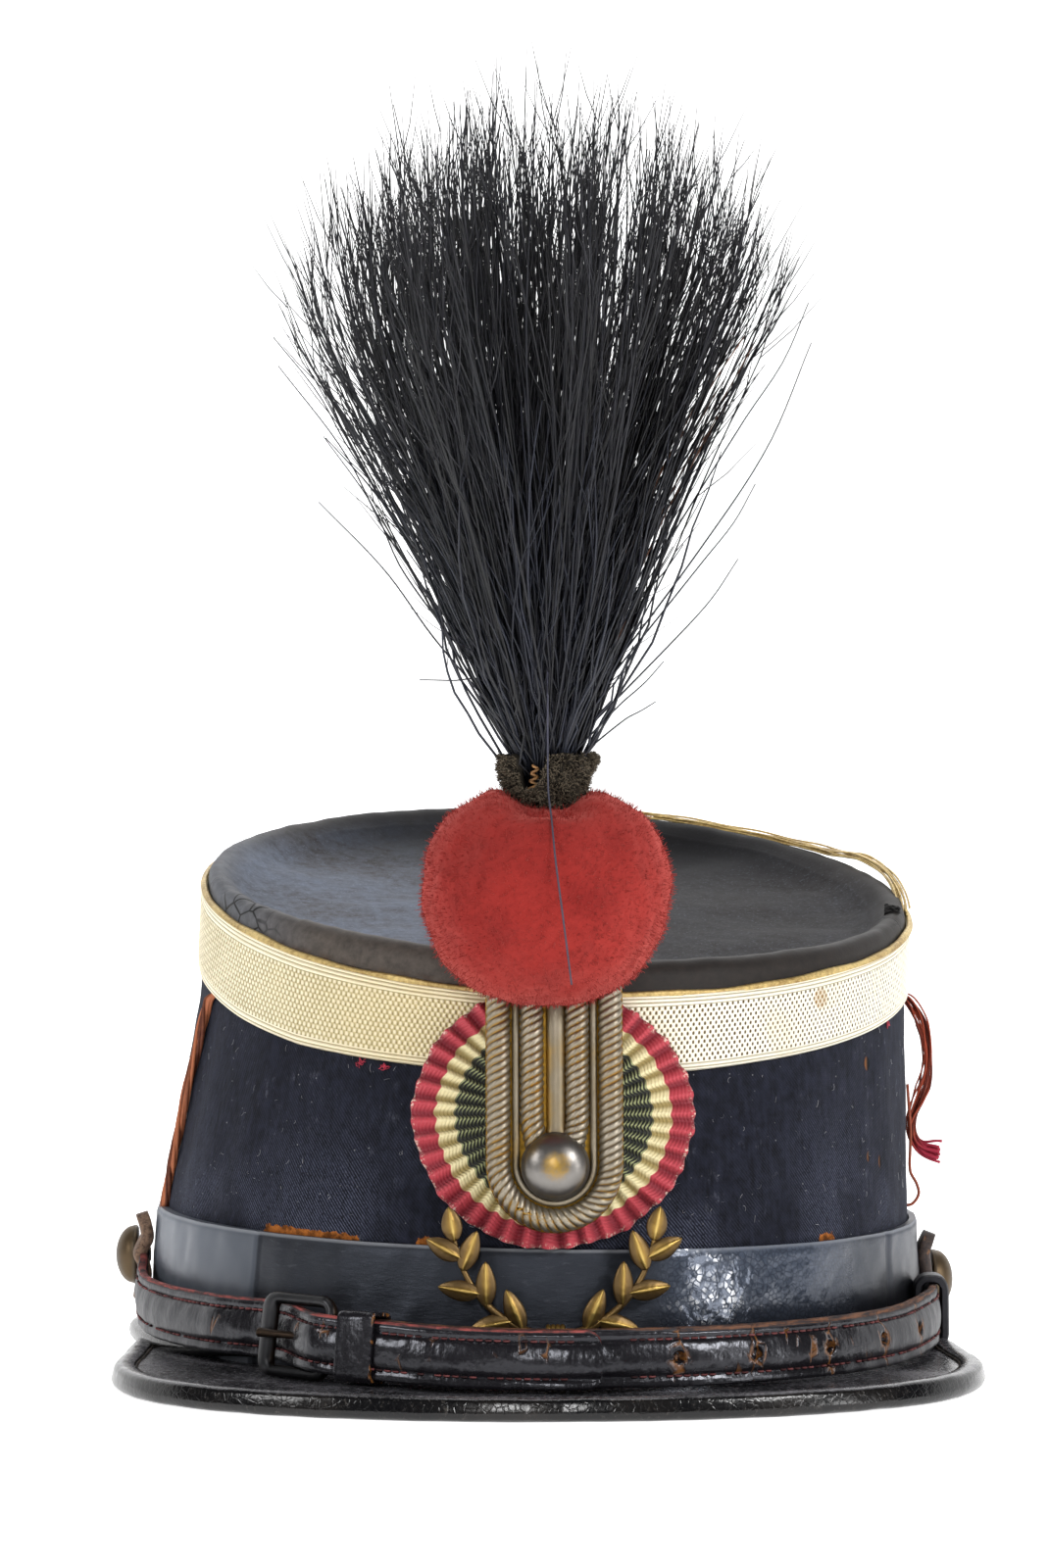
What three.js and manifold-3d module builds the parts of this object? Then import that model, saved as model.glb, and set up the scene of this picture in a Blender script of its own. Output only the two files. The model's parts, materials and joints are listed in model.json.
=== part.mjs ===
// Kepi with a peak, a buckled chin strap, a cockade under a loop plate, a pompom and a plume.
// Millimetres, +Z up, the front faces -Y. A turn is an angle in degrees round the hat from its front,
// positive towards +X. A stand-off is a distance outwards from the surface of the lower band.
import * as THREE from "three";
import { mergeVertices } from "three/addons/utils/BufferGeometryUtils.js";
import Module from "manifold-3d";

const wasm = await Module();
wasm.setup();

const GAP = 0.3;
const ROUND = 44;

// Body of the hat
const WALL_THICKNESS = 2.2;
const WALL_SECTIONS = [
  { share: 0, halfWidth: 82.6, halfLength: 99, centreX: 0, centreY: 0 },
  { share: 0.28, halfWidth: 81.4, halfLength: 96.6, centreX: 0.3, centreY: -0.3 },
  { share: 0.55, halfWidth: 79.2, halfLength: 93.4, centreX: 1.9, centreY: -0.8 },
  { share: 0.78, halfWidth: 77, halfLength: 90.4, centreX: 3.6, centreY: -1.2 },
  { share: 1, halfWidth: 76.5, halfLength: 87.5, centreX: 4.5, centreY: -1.5 },
];
const RIM_HEIGHT = 98.9;
const RIM_PITCH = 0.185;
const RIM_ROLL = -0.046;
const CROWN_PROFILE = [
  { reach: 0.03, rise: -3.6 },
  { reach: 0.78, rise: -2.4 },
  { reach: 0.87, rise: 0.8 },
  { reach: 0.925, rise: 3.8 },
  { reach: 0.96, rise: 4.6 },
  { reach: 0.99, rise: 3.4 },
  { reach: 1, rise: 0.4 },
  { reach: 0.905, rise: 0.4 },
  { reach: 0.86, rise: -2.2 },
  { reach: 0.77, rise: -4.7 },
  { reach: 0.03, rise: -5.8 },
];
const LACE_WIDTH = 17;
const LACE_THICKNESS = 1.1;
const BAND_HEIGHT = 28;
const BAND_THICKNESS = 1.5;
const BAND_OUTSET = GAP + BAND_THICKNESS;

// Peak
const PEAK_MIDDLE = 2.7;
const PEAK_THICKNESS = 2.2;
const PEAK_TURN = 73;
const PEAK_STEPS = 28;
const BINDING_REACH = 2.5;
const PEAK_REACH = [
  { turn: 0, reach: 34.2 },
  { turn: 15, reach: 36 },
  { turn: 30, reach: 38.5 },
  { turn: 40, reach: 37.1 },
  { turn: 50, reach: 29.4 },
  { turn: 60, reach: 17 },
  { turn: 70, reach: 8.4 },
  { turn: 76, reach: 5.2 },
];
const BINDING_SECTION = [
  { out: -3.2, up: 2.5 },
  { out: 0.4, up: 2.7 },
  { out: 2, up: 1.5 },
  { out: 2.5, up: 0 },
  { out: 2, up: -1.5 },
  { out: 0.4, up: -2.7 },
  { out: -3.2, up: -2.5 },
  { out: -3.2, up: -1.4 },
  { out: GAP, up: -1.4 },
  { out: GAP, up: 1.4 },
  { out: -3.2, up: 1.4 },
];
const WELT_RADIUS = 1.6;
const WELT_HEIGHT = 7.3;
const WELT_TURN = 72;

// Chin strap
const STRAP_WIDTH = 11.6;
const STRAP_THICKNESS = 2;
const STRAP_ROUTE = [
  { turn: -95, standOff: 1.4, height: 20.5 },
  { turn: -90, standOff: 1.4, height: 19 },
  { turn: -84, standOff: 2.4, height: 16 },
  { turn: -77, standOff: 5.2, height: 13.2 },
  { turn: -66, standOff: 6.2, height: 12.6 },
  { turn: -45, standOff: 8.5, height: 12.7 },
  { turn: -35, standOff: 10.9, height: 12.7 },
  { turn: -24, standOff: 13.6, height: 11.6 },
  { turn: -12, standOff: 15.8, height: 10.7 },
  { turn: 0, standOff: 17, height: 10.4 },
  { turn: 24, standOff: 17.4, height: 10.4 },
  { turn: 45, standOff: 14, height: 10.4 },
  { turn: 57, standOff: 10.2, height: 11.5 },
  { turn: 66, standOff: 7.6, height: 11.9 },
  { turn: 77, standOff: 5.2, height: 12 },
  { turn: 84, standOff: 2.4, height: 13.6 },
  { turn: 90, standOff: 1.4, height: 15.5 },
  { turn: 95, standOff: 1.4, height: 16.6 },
];
const STRAP_HOLE_TURNS = [13, 22, 32, 41.5, 51];
const STRAP_HOLE_RADIUS = 1.1;
const BUCKLE_TURN = -31.5;
const BUCKLE_HALF_LENGTH = 8.6;
const BUCKLE_WIRE = 1.2;
const BUCKLE_HALF_HEIGHT = STRAP_WIDTH / 2 + GAP + BUCKLE_WIRE;
const TAIL_LIFT = STRAP_THICKNESS + GAP + 0.1;
const TAIL_END_TURN = 4.5;
const LEFT_LIFT = [
  { turn: -95, lift: 0 },
  { turn: -48.5, lift: 0 },
  { turn: -39.5, lift: -2.7 },
  { turn: -35, lift: -2.7 },
  { turn: -28.5, lift: TAIL_LIFT + 0.3 },
  { turn: -24.5, lift: TAIL_LIFT + 0.3 },
  { turn: -21, lift: TAIL_LIFT },
  { turn: 5, lift: TAIL_LIFT },
];
const RIGHT_END_TURN = -24.5;
const KEEPER_TURN = -21;
const SLIDE_TURN = 75.8;
const LOOP_LENGTH = 7.5;
const LOOP_WALL = 1;
const SIDE_BUTTONS = [
  { name: "side_button_left", turn: -90, height: 19 },
  { name: "side_button_right", turn: 90, height: 15.5 },
];
const SIDE_BUTTON_RADIUS = 5.9;
const SHANK_RADIUS = 1.5;

// Ornaments of the front, in the leaning frame of the front wall
const FRONT_LEAN = THREE.MathUtils.degToRad(7);
const FRONT_CURVE = 67;
const FRONT_BULGE = 0.8;
const COCKADE_HEIGHT = 55;
const COCKADE_RADIUS = 28.4;
const COCKADE_PLEATS = 32;
const COCKADE_OUT = 3.9;
const COCKADE_THICKNESS = 0.7;
const COCKADE_RINGS = [
  { radius: 6, pleat: 0.25 },
  { radius: 17, pleat: 0.6 },
  { radius: COCKADE_RADIUS, pleat: 1 },
];
const PLATE_HALF_WIDTH = 13.7;
const PLATE_TOP = 83.5;
const PLATE_BOTTOM = 35.5;
const PLATE_BACK = 7.7;
const PLATE_THICKNESS = 1.2;
const ROPE_RADIUS = 2.4;
const OUTER_ROPE_INSET = 2.5;
const INNER_ROPE_X = 4.9;
const ROPE_STEP = 3.3;
const LOOP_BUTTON_HEIGHT = 47.3;
const LOOP_BUTTON_RADIUS = 6.4;
const SPRAY_BASE = 12;
const SPRAY_OUT = 3.5;
const SPRAY_LEAN = 0.15;
const SPRAY_LEAVES = [
  { along: 0.2, side: 1, length: 9 },
  { along: 0.3, side: -1, length: 8.5 },
  { along: 0.5, side: 1, length: 9 },
  { along: 0.6, side: -1, length: 8.5 },
  { along: 0.8, side: 1, length: 8.5 },
  { along: 0.88, side: -1, length: 8 },
  { along: 1, side: 0, length: 7 },
];

// Pompom and plume
const STEM_RADIUS = 0.8;
const POMPOM_CENTRE = new THREE.Vector3(-1.7, -100, 100.6);
const POMPOM_HALF = new THREE.Vector3(25.2, 23.5, 21.9);
const POMPOM_TUFTS = 24;
const SOCKET_BOTTOM = 117.5;
const SOCKET_TOP = 128.5;
const SOCKET_FOOT_RADIUS = 7.4;
const SOCKET_LIP_RADIUS = 9.3;
const PLUME_DEPTH = 0.82;
const PLUME_CORE = [
  { reach: 5, rise: -8.4 },
  { reach: 6.4, rise: 0.6 },
  { reach: 12, rise: 14 },
  { reach: 21, rise: 34 },
  { reach: 29, rise: 54 },
  { reach: 34, rise: 74 },
  { reach: 27, rise: 88 },
];
const LOCK_RINGS = [
  { count: 14, rootReach: 8, rootRise: 12, tipReach: 48.5, tipRise: 98, girth: 6.2, start: 0 },
  { count: 9, rootReach: 14, rootRise: 60, tipReach: 33, tipRise: 118, girth: 6.4, start: 0.3 },
  { count: 5, rootReach: 7, rootRise: 66, tipReach: 15, tipRise: 130, girth: 6.2, start: 0.9 },
];

// Red piping
const PIPING_LEFT_ROUTE = [
  { turn: -78.5, height: 80 },
  { turn: -80, height: 66 },
  { turn: -83, height: 46 },
  { turn: -86.5, height: 29 },
];
const PIPING_HALF_WIDTH = 1.5;
const PIPING_THICKNESS = 1.4;
const PIPING_RIGHT_RADIUS = 1.2;
const PIPING_RIGHT_ROUTE = [
  { x: 82.2, y: 4, z: 76.2 },
  { x: 85.2, y: 3.6, z: 72.6 },
  { x: 87, y: 3.2, z: 67 },
  { x: 87.4, y: 3, z: 61 },
  { x: 86.3, y: 2.6, z: 55.8 },
  { x: 84.8, y: 2.2, z: 51.5 },
  { x: 84.2, y: 2, z: 48 },
  { x: 85, y: 1.6, z: 45 },
  { x: 87.2, y: 1.2, z: 42.6 },
  { x: 90.5, y: 0.6, z: 41.2 },
];

// Finishes
const FINISHES = {
  wool: { color: 0x232a44, roughness: 0.95 },
  leather: { color: 0x1b1c20, roughness: 0.6 },
  patent: { color: 0x111114, roughness: 0.3 },
  strap: { color: 0x17161a, roughness: 0.5 },
  lace: { color: 0xc9ab6a, roughness: 0.75 },
  ribbon: { color: 0xb5382c, roughness: 0.85 },
  silvered: { color: 0x8d8478, roughness: 0.45, metalness: 0.9 },
  brass: { color: 0xb08a45, roughness: 0.4, metalness: 0.95 },
  iron: { color: 0x1d1d20, roughness: 0.5, metalness: 0.6 },
  redwool: { color: 0xa52a24, roughness: 0.95 },
  bristle: { color: 0x14110f, roughness: 0.7 },
  chenille: { color: 0x3b3322, roughness: 0.95 },
  braid: { color: 0x8e3f36, roughness: 0.9 },
};

const radians = THREE.MathUtils.degToRad;
const lerp = THREE.MathUtils.lerp;
const vector = (x, y, z) => new THREE.Vector3(x, y, z);

// Smooth value of one column of a table at a key, by a spline through its rows.
function sample(table, key, at, column) {
  const last = table.length - 1;
  const found = table.findIndex((row) => row[key] >= at);
  const next = THREE.MathUtils.clamp(found < 0 ? last : found, 1, last);
  const from = table[next - 1];
  const to = table[next];
  const span = to[key] - from[key];
  const slope = (index) => {
    const low = table[Math.max(index - 1, 0)];
    const high = table[Math.min(index + 1, last)];
    return ((high[column] - low[column]) / (high[key] - low[key])) * span;
  };
  const t = THREE.MathUtils.clamp((at - from[key]) / span, 0, 1);
  const t2 = t * t;
  const t3 = t2 * t;
  const start = (2 * t3 - 3 * t2 + 1) * from[column] + (t3 - 2 * t2 + t) * slope(next - 1);
  const end = (3 * t2 - 2 * t3) * to[column] + (t3 - t2) * slope(next);
  return start + end;
}

// A repeatable number from 0 to 1 for an index.
function scatter(index, seed) {
  const wave = Math.sin(index * 12.9898 + seed * 78.233) * 43758.5453;
  return wave - Math.floor(wave);
}

// Evenly spaced values from low to high, both included.
function spread(low, high, steps) {
  return Array.from({ length: steps + 1 }, (_, i) => lerp(low, high, i / steps));
}

// Triangles that close a ring of points that lies about in one plane.
function capTriangles(ring) {
  const centre = ring.reduce((sum, p) => sum.add(p), vector(0, 0, 0)).divideScalar(ring.length);
  const normal = vector(0, 0, 0);
  ring.forEach((p, i) => {
    const q = ring[(i + 1) % ring.length];
    normal.add(p.clone().sub(centre).cross(q.clone().sub(centre)));
  });
  normal.normalize();
  const across = ring[0].clone().sub(centre).normalize();
  const up = normal.clone().cross(across);
  const flat = ring.map((p) => {
    const d = p.clone().sub(centre);
    return new THREE.Vector2(d.dot(across), d.dot(up));
  });
  return THREE.ShapeUtils.triangulateShape(flat, []);
}

// One closed skin over a row of rings that all have the same number of points.
function skin(rings, { loop = false } = {}) {
  const count = rings[0].length;
  const points = rings.flat();
  const triangles = [];
  const joins = loop ? rings.length : rings.length - 1;
  for (let i = 0; i < joins; i += 1) {
    const a = i * count;
    const b = ((i + 1) % rings.length) * count;
    for (let j = 0; j < count; j += 1) {
      const k = (j + 1) % count;
      triangles.push([a + j, b + j, b + k], [a + j, b + k, a + k]);
    }
  }
  if (!loop) {
    const end = (rings.length - 1) * count;
    capTriangles(rings[0]).forEach(([p, q, r]) => triangles.push([p, q, r]));
    capTriangles(rings.at(-1)).forEach(([p, q, r]) => triangles.push([end + r, end + q, end + p]));
  }
  const volume = triangles.reduce(
    (sum, [p, q, r]) => sum + points[p].dot(points[q].clone().cross(points[r])),
    0,
  );
  const outward = volume < 0 ? triangles.map(([p, q, r]) => [r, q, p]) : triangles;
  const geometry = new THREE.BufferGeometry().setFromPoints(points);
  return geometry.setIndex(outward.flat());
}

// A section swept round the whole hat.
function hoop(sectionAt) {
  const turns = spread(0, 360, ROUND).slice(0, ROUND);
  return skin(turns.map((turn) => sectionAt(turn)), { loop: true });
}

function toSolid(geometry) {
  const bare = new THREE.BufferGeometry();
  const plain = geometry.index ? geometry.toNonIndexed() : geometry;
  bare.setAttribute("position", plain.getAttribute("position").clone());
  const merged = mergeVertices(bare, 1e-4);
  return new wasm.Manifold(
    new wasm.Mesh({
      numProp: 3,
      vertProperties: merged.getAttribute("position").array,
      triVerts: new Uint32Array(merged.index.array),
    }),
  );
}

function toGeometry(solid) {
  const mesh = solid.getMesh();
  const geometry = new THREE.BufferGeometry();
  geometry.setAttribute("position", new THREE.BufferAttribute(mesh.vertProperties, 3));
  return geometry.setIndex(new THREE.BufferAttribute(mesh.triVerts, 1));
}

function fuse(geometries) {
  return toGeometry(wasm.Manifold.union(geometries.map(toSolid)));
}

function carve(geometry, cutters) {
  return toGeometry(cutters.reduce((solid, cutter) => solid.subtract(toSolid(cutter)), toSolid(geometry)));
}

function piece(name, geometry, finish) {
  const material = new THREE.MeshStandardMaterial({ name: finish, ...FINISHES[finish] });
  const mesh = new THREE.Mesh(geometry, material);
  mesh.name = name;
  return mesh;
}

// Places on the hat
function sectionAt(share) {
  const column = (name) => sample(WALL_SECTIONS, "share", share, name);
  return {
    halfWidth: column("halfWidth"),
    halfLength: column("halfLength"),
    centreX: column("centreX"),
    centreY: column("centreY"),
  };
}

function rimPlane(x, y) {
  return RIM_HEIGHT + RIM_ROLL * x + RIM_PITCH * y;
}

function rimHeight(turn) {
  const top = sectionAt(1);
  const x = top.centreX + top.halfWidth * Math.sin(radians(turn));
  const y = top.centreY - top.halfLength * Math.cos(radians(turn));
  return rimPlane(x, y);
}

function wallPoint(turn, height, outset) {
  const section = sectionAt(height / rimHeight(turn));
  const x = section.centreX + (section.halfWidth + outset) * Math.sin(radians(turn));
  const y = section.centreY - (section.halfLength + outset) * Math.cos(radians(turn));
  return vector(x, y, height);
}

// A point beside the rim, at a rise above the sloping plane of the rim.
function rimPoint(turn, outset, rise) {
  const p = wallPoint(turn, rimHeight(turn), outset);
  return p.setZ(rimPlane(p.x, p.y) + rise);
}

function outwards(turn) {
  const foot = sectionAt(0);
  const x = Math.sin(radians(turn)) / (foot.halfWidth + BAND_OUTSET);
  const y = -Math.cos(radians(turn)) / (foot.halfLength + BAND_OUTSET);
  return vector(x, y, 0).normalize();
}

function offBand(turn, standOff, height) {
  const foot = wallPoint(turn, 0, BAND_OUTSET);
  return foot.addScaledVector(outwards(turn), standOff).setZ(height);
}

// Body of the hat
function bodyWall() {
  return hoop((turn) => {
    const rim = rimHeight(turn);
    const outer = [0, 0.28, 0.55, 0.78, 1].map((share) => wallPoint(turn, share * rim, 0));
    const inner = [0.5, 0].map((share) => wallPoint(turn, share * rim, -WALL_THICKNESS));
    return [...outer, rimPoint(turn, -WALL_THICKNESS, 0), ...inner];
  });
}

function crownTop() {
  const top = sectionAt(1);
  const rings = CROWN_PROFILE.map(({ reach, rise }) =>
    spread(0, 360, ROUND)
      .slice(0, ROUND)
      .map((turn) => {
        const x = top.centreX + top.halfWidth * reach * Math.sin(radians(turn));
        const y = top.centreY - top.halfLength * reach * Math.cos(radians(turn));
        return vector(x, y, rimPlane(x, y) + rise);
      }),
  );
  return skin(rings);
}

function laceBand() {
  return hoop((turn) => {
    const rim = rimHeight(turn);
    const out = GAP + LACE_THICKNESS;
    const heights = [rim - LACE_WIDTH, rim - LACE_WIDTH / 2, rim - 0.5];
    const outer = heights.map((height) => wallPoint(turn, height, out));
    const inner = heights.reverse().map((height) => wallPoint(turn, height, GAP));
    return [...outer, ...inner];
  });
}

function lowerBand() {
  return hoop((turn) => [
    wallPoint(turn, 0, GAP),
    wallPoint(turn, 0, BAND_OUTSET),
    wallPoint(turn, BAND_HEIGHT, BAND_OUTSET),
    wallPoint(turn, BAND_HEIGHT, GAP),
  ]);
}

// Peak
function peakEdge(turn) {
  const reach = sample(PEAK_REACH, "turn", Math.abs(turn), "reach");
  return offBand(turn, reach - BINDING_REACH, PEAK_MIDDLE);
}

function peak() {
  const half = PEAK_THICKNESS / 2;
  const rings = spread(-PEAK_TURN, PEAK_TURN, PEAK_STEPS).map((turn) => {
    const edge = peakEdge(turn);
    const inner = offBand(turn, GAP, PEAK_MIDDLE);
    const lift = (p, up) => p.clone().setZ(PEAK_MIDDLE + up);
    return [lift(inner, -half), lift(edge, -half), lift(edge, half), lift(inner, half)];
  });
  return skin(rings);
}

function peakBinding() {
  const rings = spread(-PEAK_TURN, PEAK_TURN, PEAK_STEPS).map((turn) => {
    const edge = peakEdge(turn);
    const along = peakEdge(turn + 0.2).sub(peakEdge(turn - 0.2)).normalize();
    const out = vector(along.y, -along.x, 0);
    return BINDING_SECTION.map((p) => edge.clone().addScaledVector(out, p.out).setZ(PEAK_MIDDLE + p.up));
  });
  return skin(rings);
}

function peakWelt() {
  const rings = spread(-WELT_TURN, WELT_TURN, 26).map((turn) =>
    spread(0, 360, 6)
      .slice(0, 6)
      .map((angle) => {
        const out = GAP + WELT_RADIUS + WELT_RADIUS * Math.cos(radians(angle));
        return offBand(turn, out, WELT_HEIGHT + WELT_RADIUS * Math.sin(radians(angle)));
      }),
  );
  return skin(rings);
}

// Chin strap
function strapPoint(turn, out, up) {
  const standOff = sample(STRAP_ROUTE, "turn", turn, "standOff");
  const height = sample(STRAP_ROUTE, "turn", turn, "height");
  return offBand(turn, standOff + out, height + up);
}

function strapBand(turns, liftAt) {
  const half = STRAP_THICKNESS / 2;
  const rings = turns.map((turn, i) => {
    const end = i === 0 || i === turns.length - 1;
    const reach = STRAP_WIDTH / 2 - (end ? 2.4 : 0);
    const lift = liftAt(turn);
    return [
      strapPoint(turn, lift - half, -reach),
      strapPoint(turn, lift + half, -reach),
      strapPoint(turn, lift + half, reach),
      strapPoint(turn, lift - half, reach),
    ];
  });
  return skin(rings);
}

// A frame on the strap: X along it, Y outwards, Z up.
function strapFrame(turn, out) {
  const along = strapPoint(turn + 1, 0, 0).sub(strapPoint(turn - 1, 0, 0)).setZ(0).normalize();
  const outward = vector(along.y, -along.x, 0);
  const basis = new THREE.Matrix4().makeBasis(along, outward, vector(0, 0, 1));
  const anchor = strapPoint(turn, 0, 0).addScaledVector(outward, out);
  return basis.setPosition(anchor);
}

// A round bar along a straight line between two points.
function bar(from, to, radius, sides) {
  const axis = to.clone().sub(from);
  const turn = new THREE.Quaternion().setFromUnitVectors(vector(0, 1, 0), axis.clone().normalize());
  const middle = from.clone().lerp(to, 0.5);
  const place = new THREE.Matrix4().compose(middle, turn, vector(1, 1, 1));
  return new THREE.CylinderGeometry(radius, radius, axis.length(), sides).applyMatrix4(place);
}

function shankHole({ turn, height }) {
  const out = outwards(turn);
  const foot = offBand(turn, 0, height);
  const far = foot.clone().addScaledVector(out, 6);
  return bar(foot.addScaledVector(out, -1), far, SHANK_RADIUS + GAP, 12);
}

function tongueBar(radius) {
  const frame = strapFrame(BUCKLE_TURN, 0);
  const path = [vector(6.4, 3.2, 0), vector(1, 0.6, 0), vector(-BUCKLE_HALF_LENGTH - 1.2, 2.6, 0)];
  const rings = path.map((p) =>
    spread(45, 405, 4)
      .slice(0, 4)
      .map((angle) => {
        const up = radius * Math.SQRT2 * Math.sin(radians(angle));
        const out = radius * Math.SQRT2 * Math.cos(radians(angle));
        return vector(p.x, p.y + out, p.z + up).applyMatrix4(frame);
      }),
  );
  return skin(rings);
}

function strapLeft() {
  const throughBuckle = [-43.5, -39.5, -36.5, -33.5, -31, -28.5, -25.5, -22.5];
  const turns = [...spread(-95, -48.5, 9), ...throughBuckle, ...spread(-18.5, 2.5, 5), TAIL_END_TURN];
  const band = strapBand(turns, (turn) => sample(LEFT_LIFT, "turn", turn, "lift"));
  return carve(band, [shankHole(SIDE_BUTTONS[0])]);
}

function strapRight() {
  const turns = [...spread(RIGHT_END_TURN, 66, 19), ...spread(70, 95, 6)];
  const band = strapBand(turns, () => 0);
  const holes = STRAP_HOLE_TURNS.map((turn) => {
    const out = outwards(turn);
    const centre = strapPoint(turn, 0, 0);
    const from = centre.clone().addScaledVector(out, -4);
    return bar(from, centre.addScaledVector(out, 4), STRAP_HOLE_RADIUS, 8);
  });
  return carve(band, [...holes, shankHole(SIDE_BUTTONS[1])]);
}

// A flat leather loop round the layers of strap at a turn.
function strapLoop(turn, low, high) {
  const inner = { x: STRAP_WIDTH / 2 + GAP, low: low - GAP - 0.15, high: high + GAP + 0.15 };
  const outline = (grow) => [
    new THREE.Vector2(-inner.x - grow, inner.low - grow),
    new THREE.Vector2(inner.x + grow, inner.low - grow),
    new THREE.Vector2(inner.x + grow, inner.high + grow),
    new THREE.Vector2(-inner.x - grow, inner.high + grow),
  ];
  const shape = new THREE.Shape(outline(LOOP_WALL));
  shape.holes.push(new THREE.Path(outline(0).reverse()));
  const geometry = new THREE.ExtrudeGeometry(shape, { depth: LOOP_LENGTH, bevelEnabled: false });
  const turned = new THREE.Matrix4().makeBasis(vector(0, 0, 1), vector(0, 1, 0), vector(1, 0, 0));
  turned.setPosition(-LOOP_LENGTH / 2, 0, 0);
  return geometry.applyMatrix4(turned).applyMatrix4(strapFrame(turn, 0));
}

function buckleFrame() {
  const frame = strapFrame(BUCKLE_TURN, 0);
  const corner = 2.6;
  const path = [];
  const corners = [
    { x: 1, z: 1, from: 0 },
    { x: -1, z: 1, from: 90 },
    { x: -1, z: -1, from: 180 },
    { x: 1, z: -1, from: 270 },
  ];
  corners.forEach(({ x, z, from }) =>
    spread(from, from + 90, 3).forEach((angle) => {
      const c = Math.cos(radians(angle));
      const s = Math.sin(radians(angle));
      const middle = vector(x * (BUCKLE_HALF_LENGTH - corner), 0, z * (BUCKLE_HALF_HEIGHT - corner));
      path.push({ out: vector(c, 0, s), middle: middle.add(vector(c * corner, 0, s * corner)) });
    }),
  );
  const rings = path.map(({ out, middle }) =>
    spread(0, 360, 6)
      .slice(0, 6)
      .map((angle) => {
        const p = middle.clone().addScaledVector(out, BUCKLE_WIRE * Math.cos(radians(angle)));
        p.y += BUCKLE_WIRE * Math.sin(radians(angle));
        return p.applyMatrix4(frame);
      }),
  );
  return skin(rings, { loop: true });
}

// A domed button on a shank. The axis of the lathe is turned to point outwards.
function domedButton(radius, shankLength, place) {
  const dome = spread(90, 0, 4).map((angle) => {
    const a = radians(angle);
    return new THREE.Vector2(radius * Math.cos(a), shankLength + 1 + radius * 0.62 * Math.sin(a));
  });
  dome[0].x = 0;
  const profile = [
    new THREE.Vector2(0, 0),
    new THREE.Vector2(SHANK_RADIUS, 0),
    new THREE.Vector2(SHANK_RADIUS, shankLength),
    new THREE.Vector2(radius * 0.94, shankLength),
    ...dome.reverse(),
  ];
  const lathe = mergeVertices(bareGeometry(new THREE.LatheGeometry(profile, 12)), 1e-3);
  return lathe.applyMatrix4(place);
}

// A geometry with its positions alone, without triangles that have no area.
function bareGeometry(geometry) {
  const plain = geometry.index ? geometry.toNonIndexed() : geometry;
  const source = plain.getAttribute("position");
  const kept = [];
  for (let i = 0; i < source.count; i += 3) {
    const corner = [0, 1, 2].map((k) => new THREE.Vector3().fromBufferAttribute(source, i + k));
    const area = corner[1].clone().sub(corner[0]).cross(corner[2].clone().sub(corner[0])).length();
    if (area > 1e-6) {
      kept.push(...corner);
    }
  }
  return new THREE.BufferGeometry().setFromPoints(kept);
}

function sideButton({ turn, height }) {
  const out = outwards(turn);
  const along = vector(0, 0, 1).cross(out);
  const frame = new THREE.Matrix4().makeBasis(along, out, vector(0, 0, -1));
  frame.setPosition(offBand(turn, GAP, height));
  return domedButton(SIDE_BUTTON_RADIUS, STRAP_THICKNESS + GAP + 0.4, frame);
}

// Front ornaments: X right, Y inwards, Z up the wall
function frontGroup() {
  const group = new THREE.Group();
  group.position.copy(wallPoint(0, 0, FRONT_BULGE));
  group.rotation.x = -FRONT_LEAN;
  return group;
}

function cockade() {
  const stations = COCKADE_PLEATS * 2;
  const rings = spread(0, 360, stations)
    .slice(0, stations)
    .map((angle, i) => {
      const front = COCKADE_RINGS.map(({ radius, pleat }) => {
        const x = radius * Math.cos(radians(angle));
        const z = COCKADE_HEIGHT + radius * Math.sin(radians(angle));
        const bend = (0.7 * x * x) / (2 * FRONT_CURVE);
        const fold = i % 2 === 0 ? pleat : -pleat;
        return vector(x, bend - COCKADE_OUT - fold, z);
      });
      const back = front.map((p) => p.clone().setY(p.y + COCKADE_THICKNESS)).reverse();
      return [...front, ...back];
    });
  return skin(rings, { loop: true });
}

// Points down one side of a loop, round its foot and up the other side.
function loopRoute(halfWidth, top, foot, step) {
  const centre = foot + halfWidth;
  const straight = Math.round((top - centre) / step);
  const bend = Math.round((Math.PI * halfWidth) / step);
  const down = spread(top, centre, straight).map((z) => vector(-halfWidth, 0, z));
  const round = spread(180, 360, bend).map((angle) => {
    const a = radians(angle);
    return vector(halfWidth * Math.cos(a), 0, centre + halfWidth * Math.sin(a));
  });
  const up = spread(centre, top, straight).map((z) => vector(halfWidth, 0, z));
  return [...down, ...round.slice(1, -1), ...up];
}

// A twisted rope that lies on the face of the plate.
function rope(points, radius) {
  const rings = points.map((p, i) => {
    const before = points[Math.max(i - 1, 0)];
    const after = points[Math.min(i + 1, points.length - 1)];
    const along = after.clone().sub(before).normalize();
    const across = vector(along.z, 0, -along.x);
    return spread(0, 360, 4)
      .slice(0, 4)
      .map((angle, k) => {
        const a = radians(angle + i * 50);
        const r = k % 2 === 0 ? radius : radius * 0.7;
        return p.clone().addScaledVector(across, r * Math.cos(a)).setY(-r * Math.sin(a));
      });
  });
  return skin(rings);
}

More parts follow.
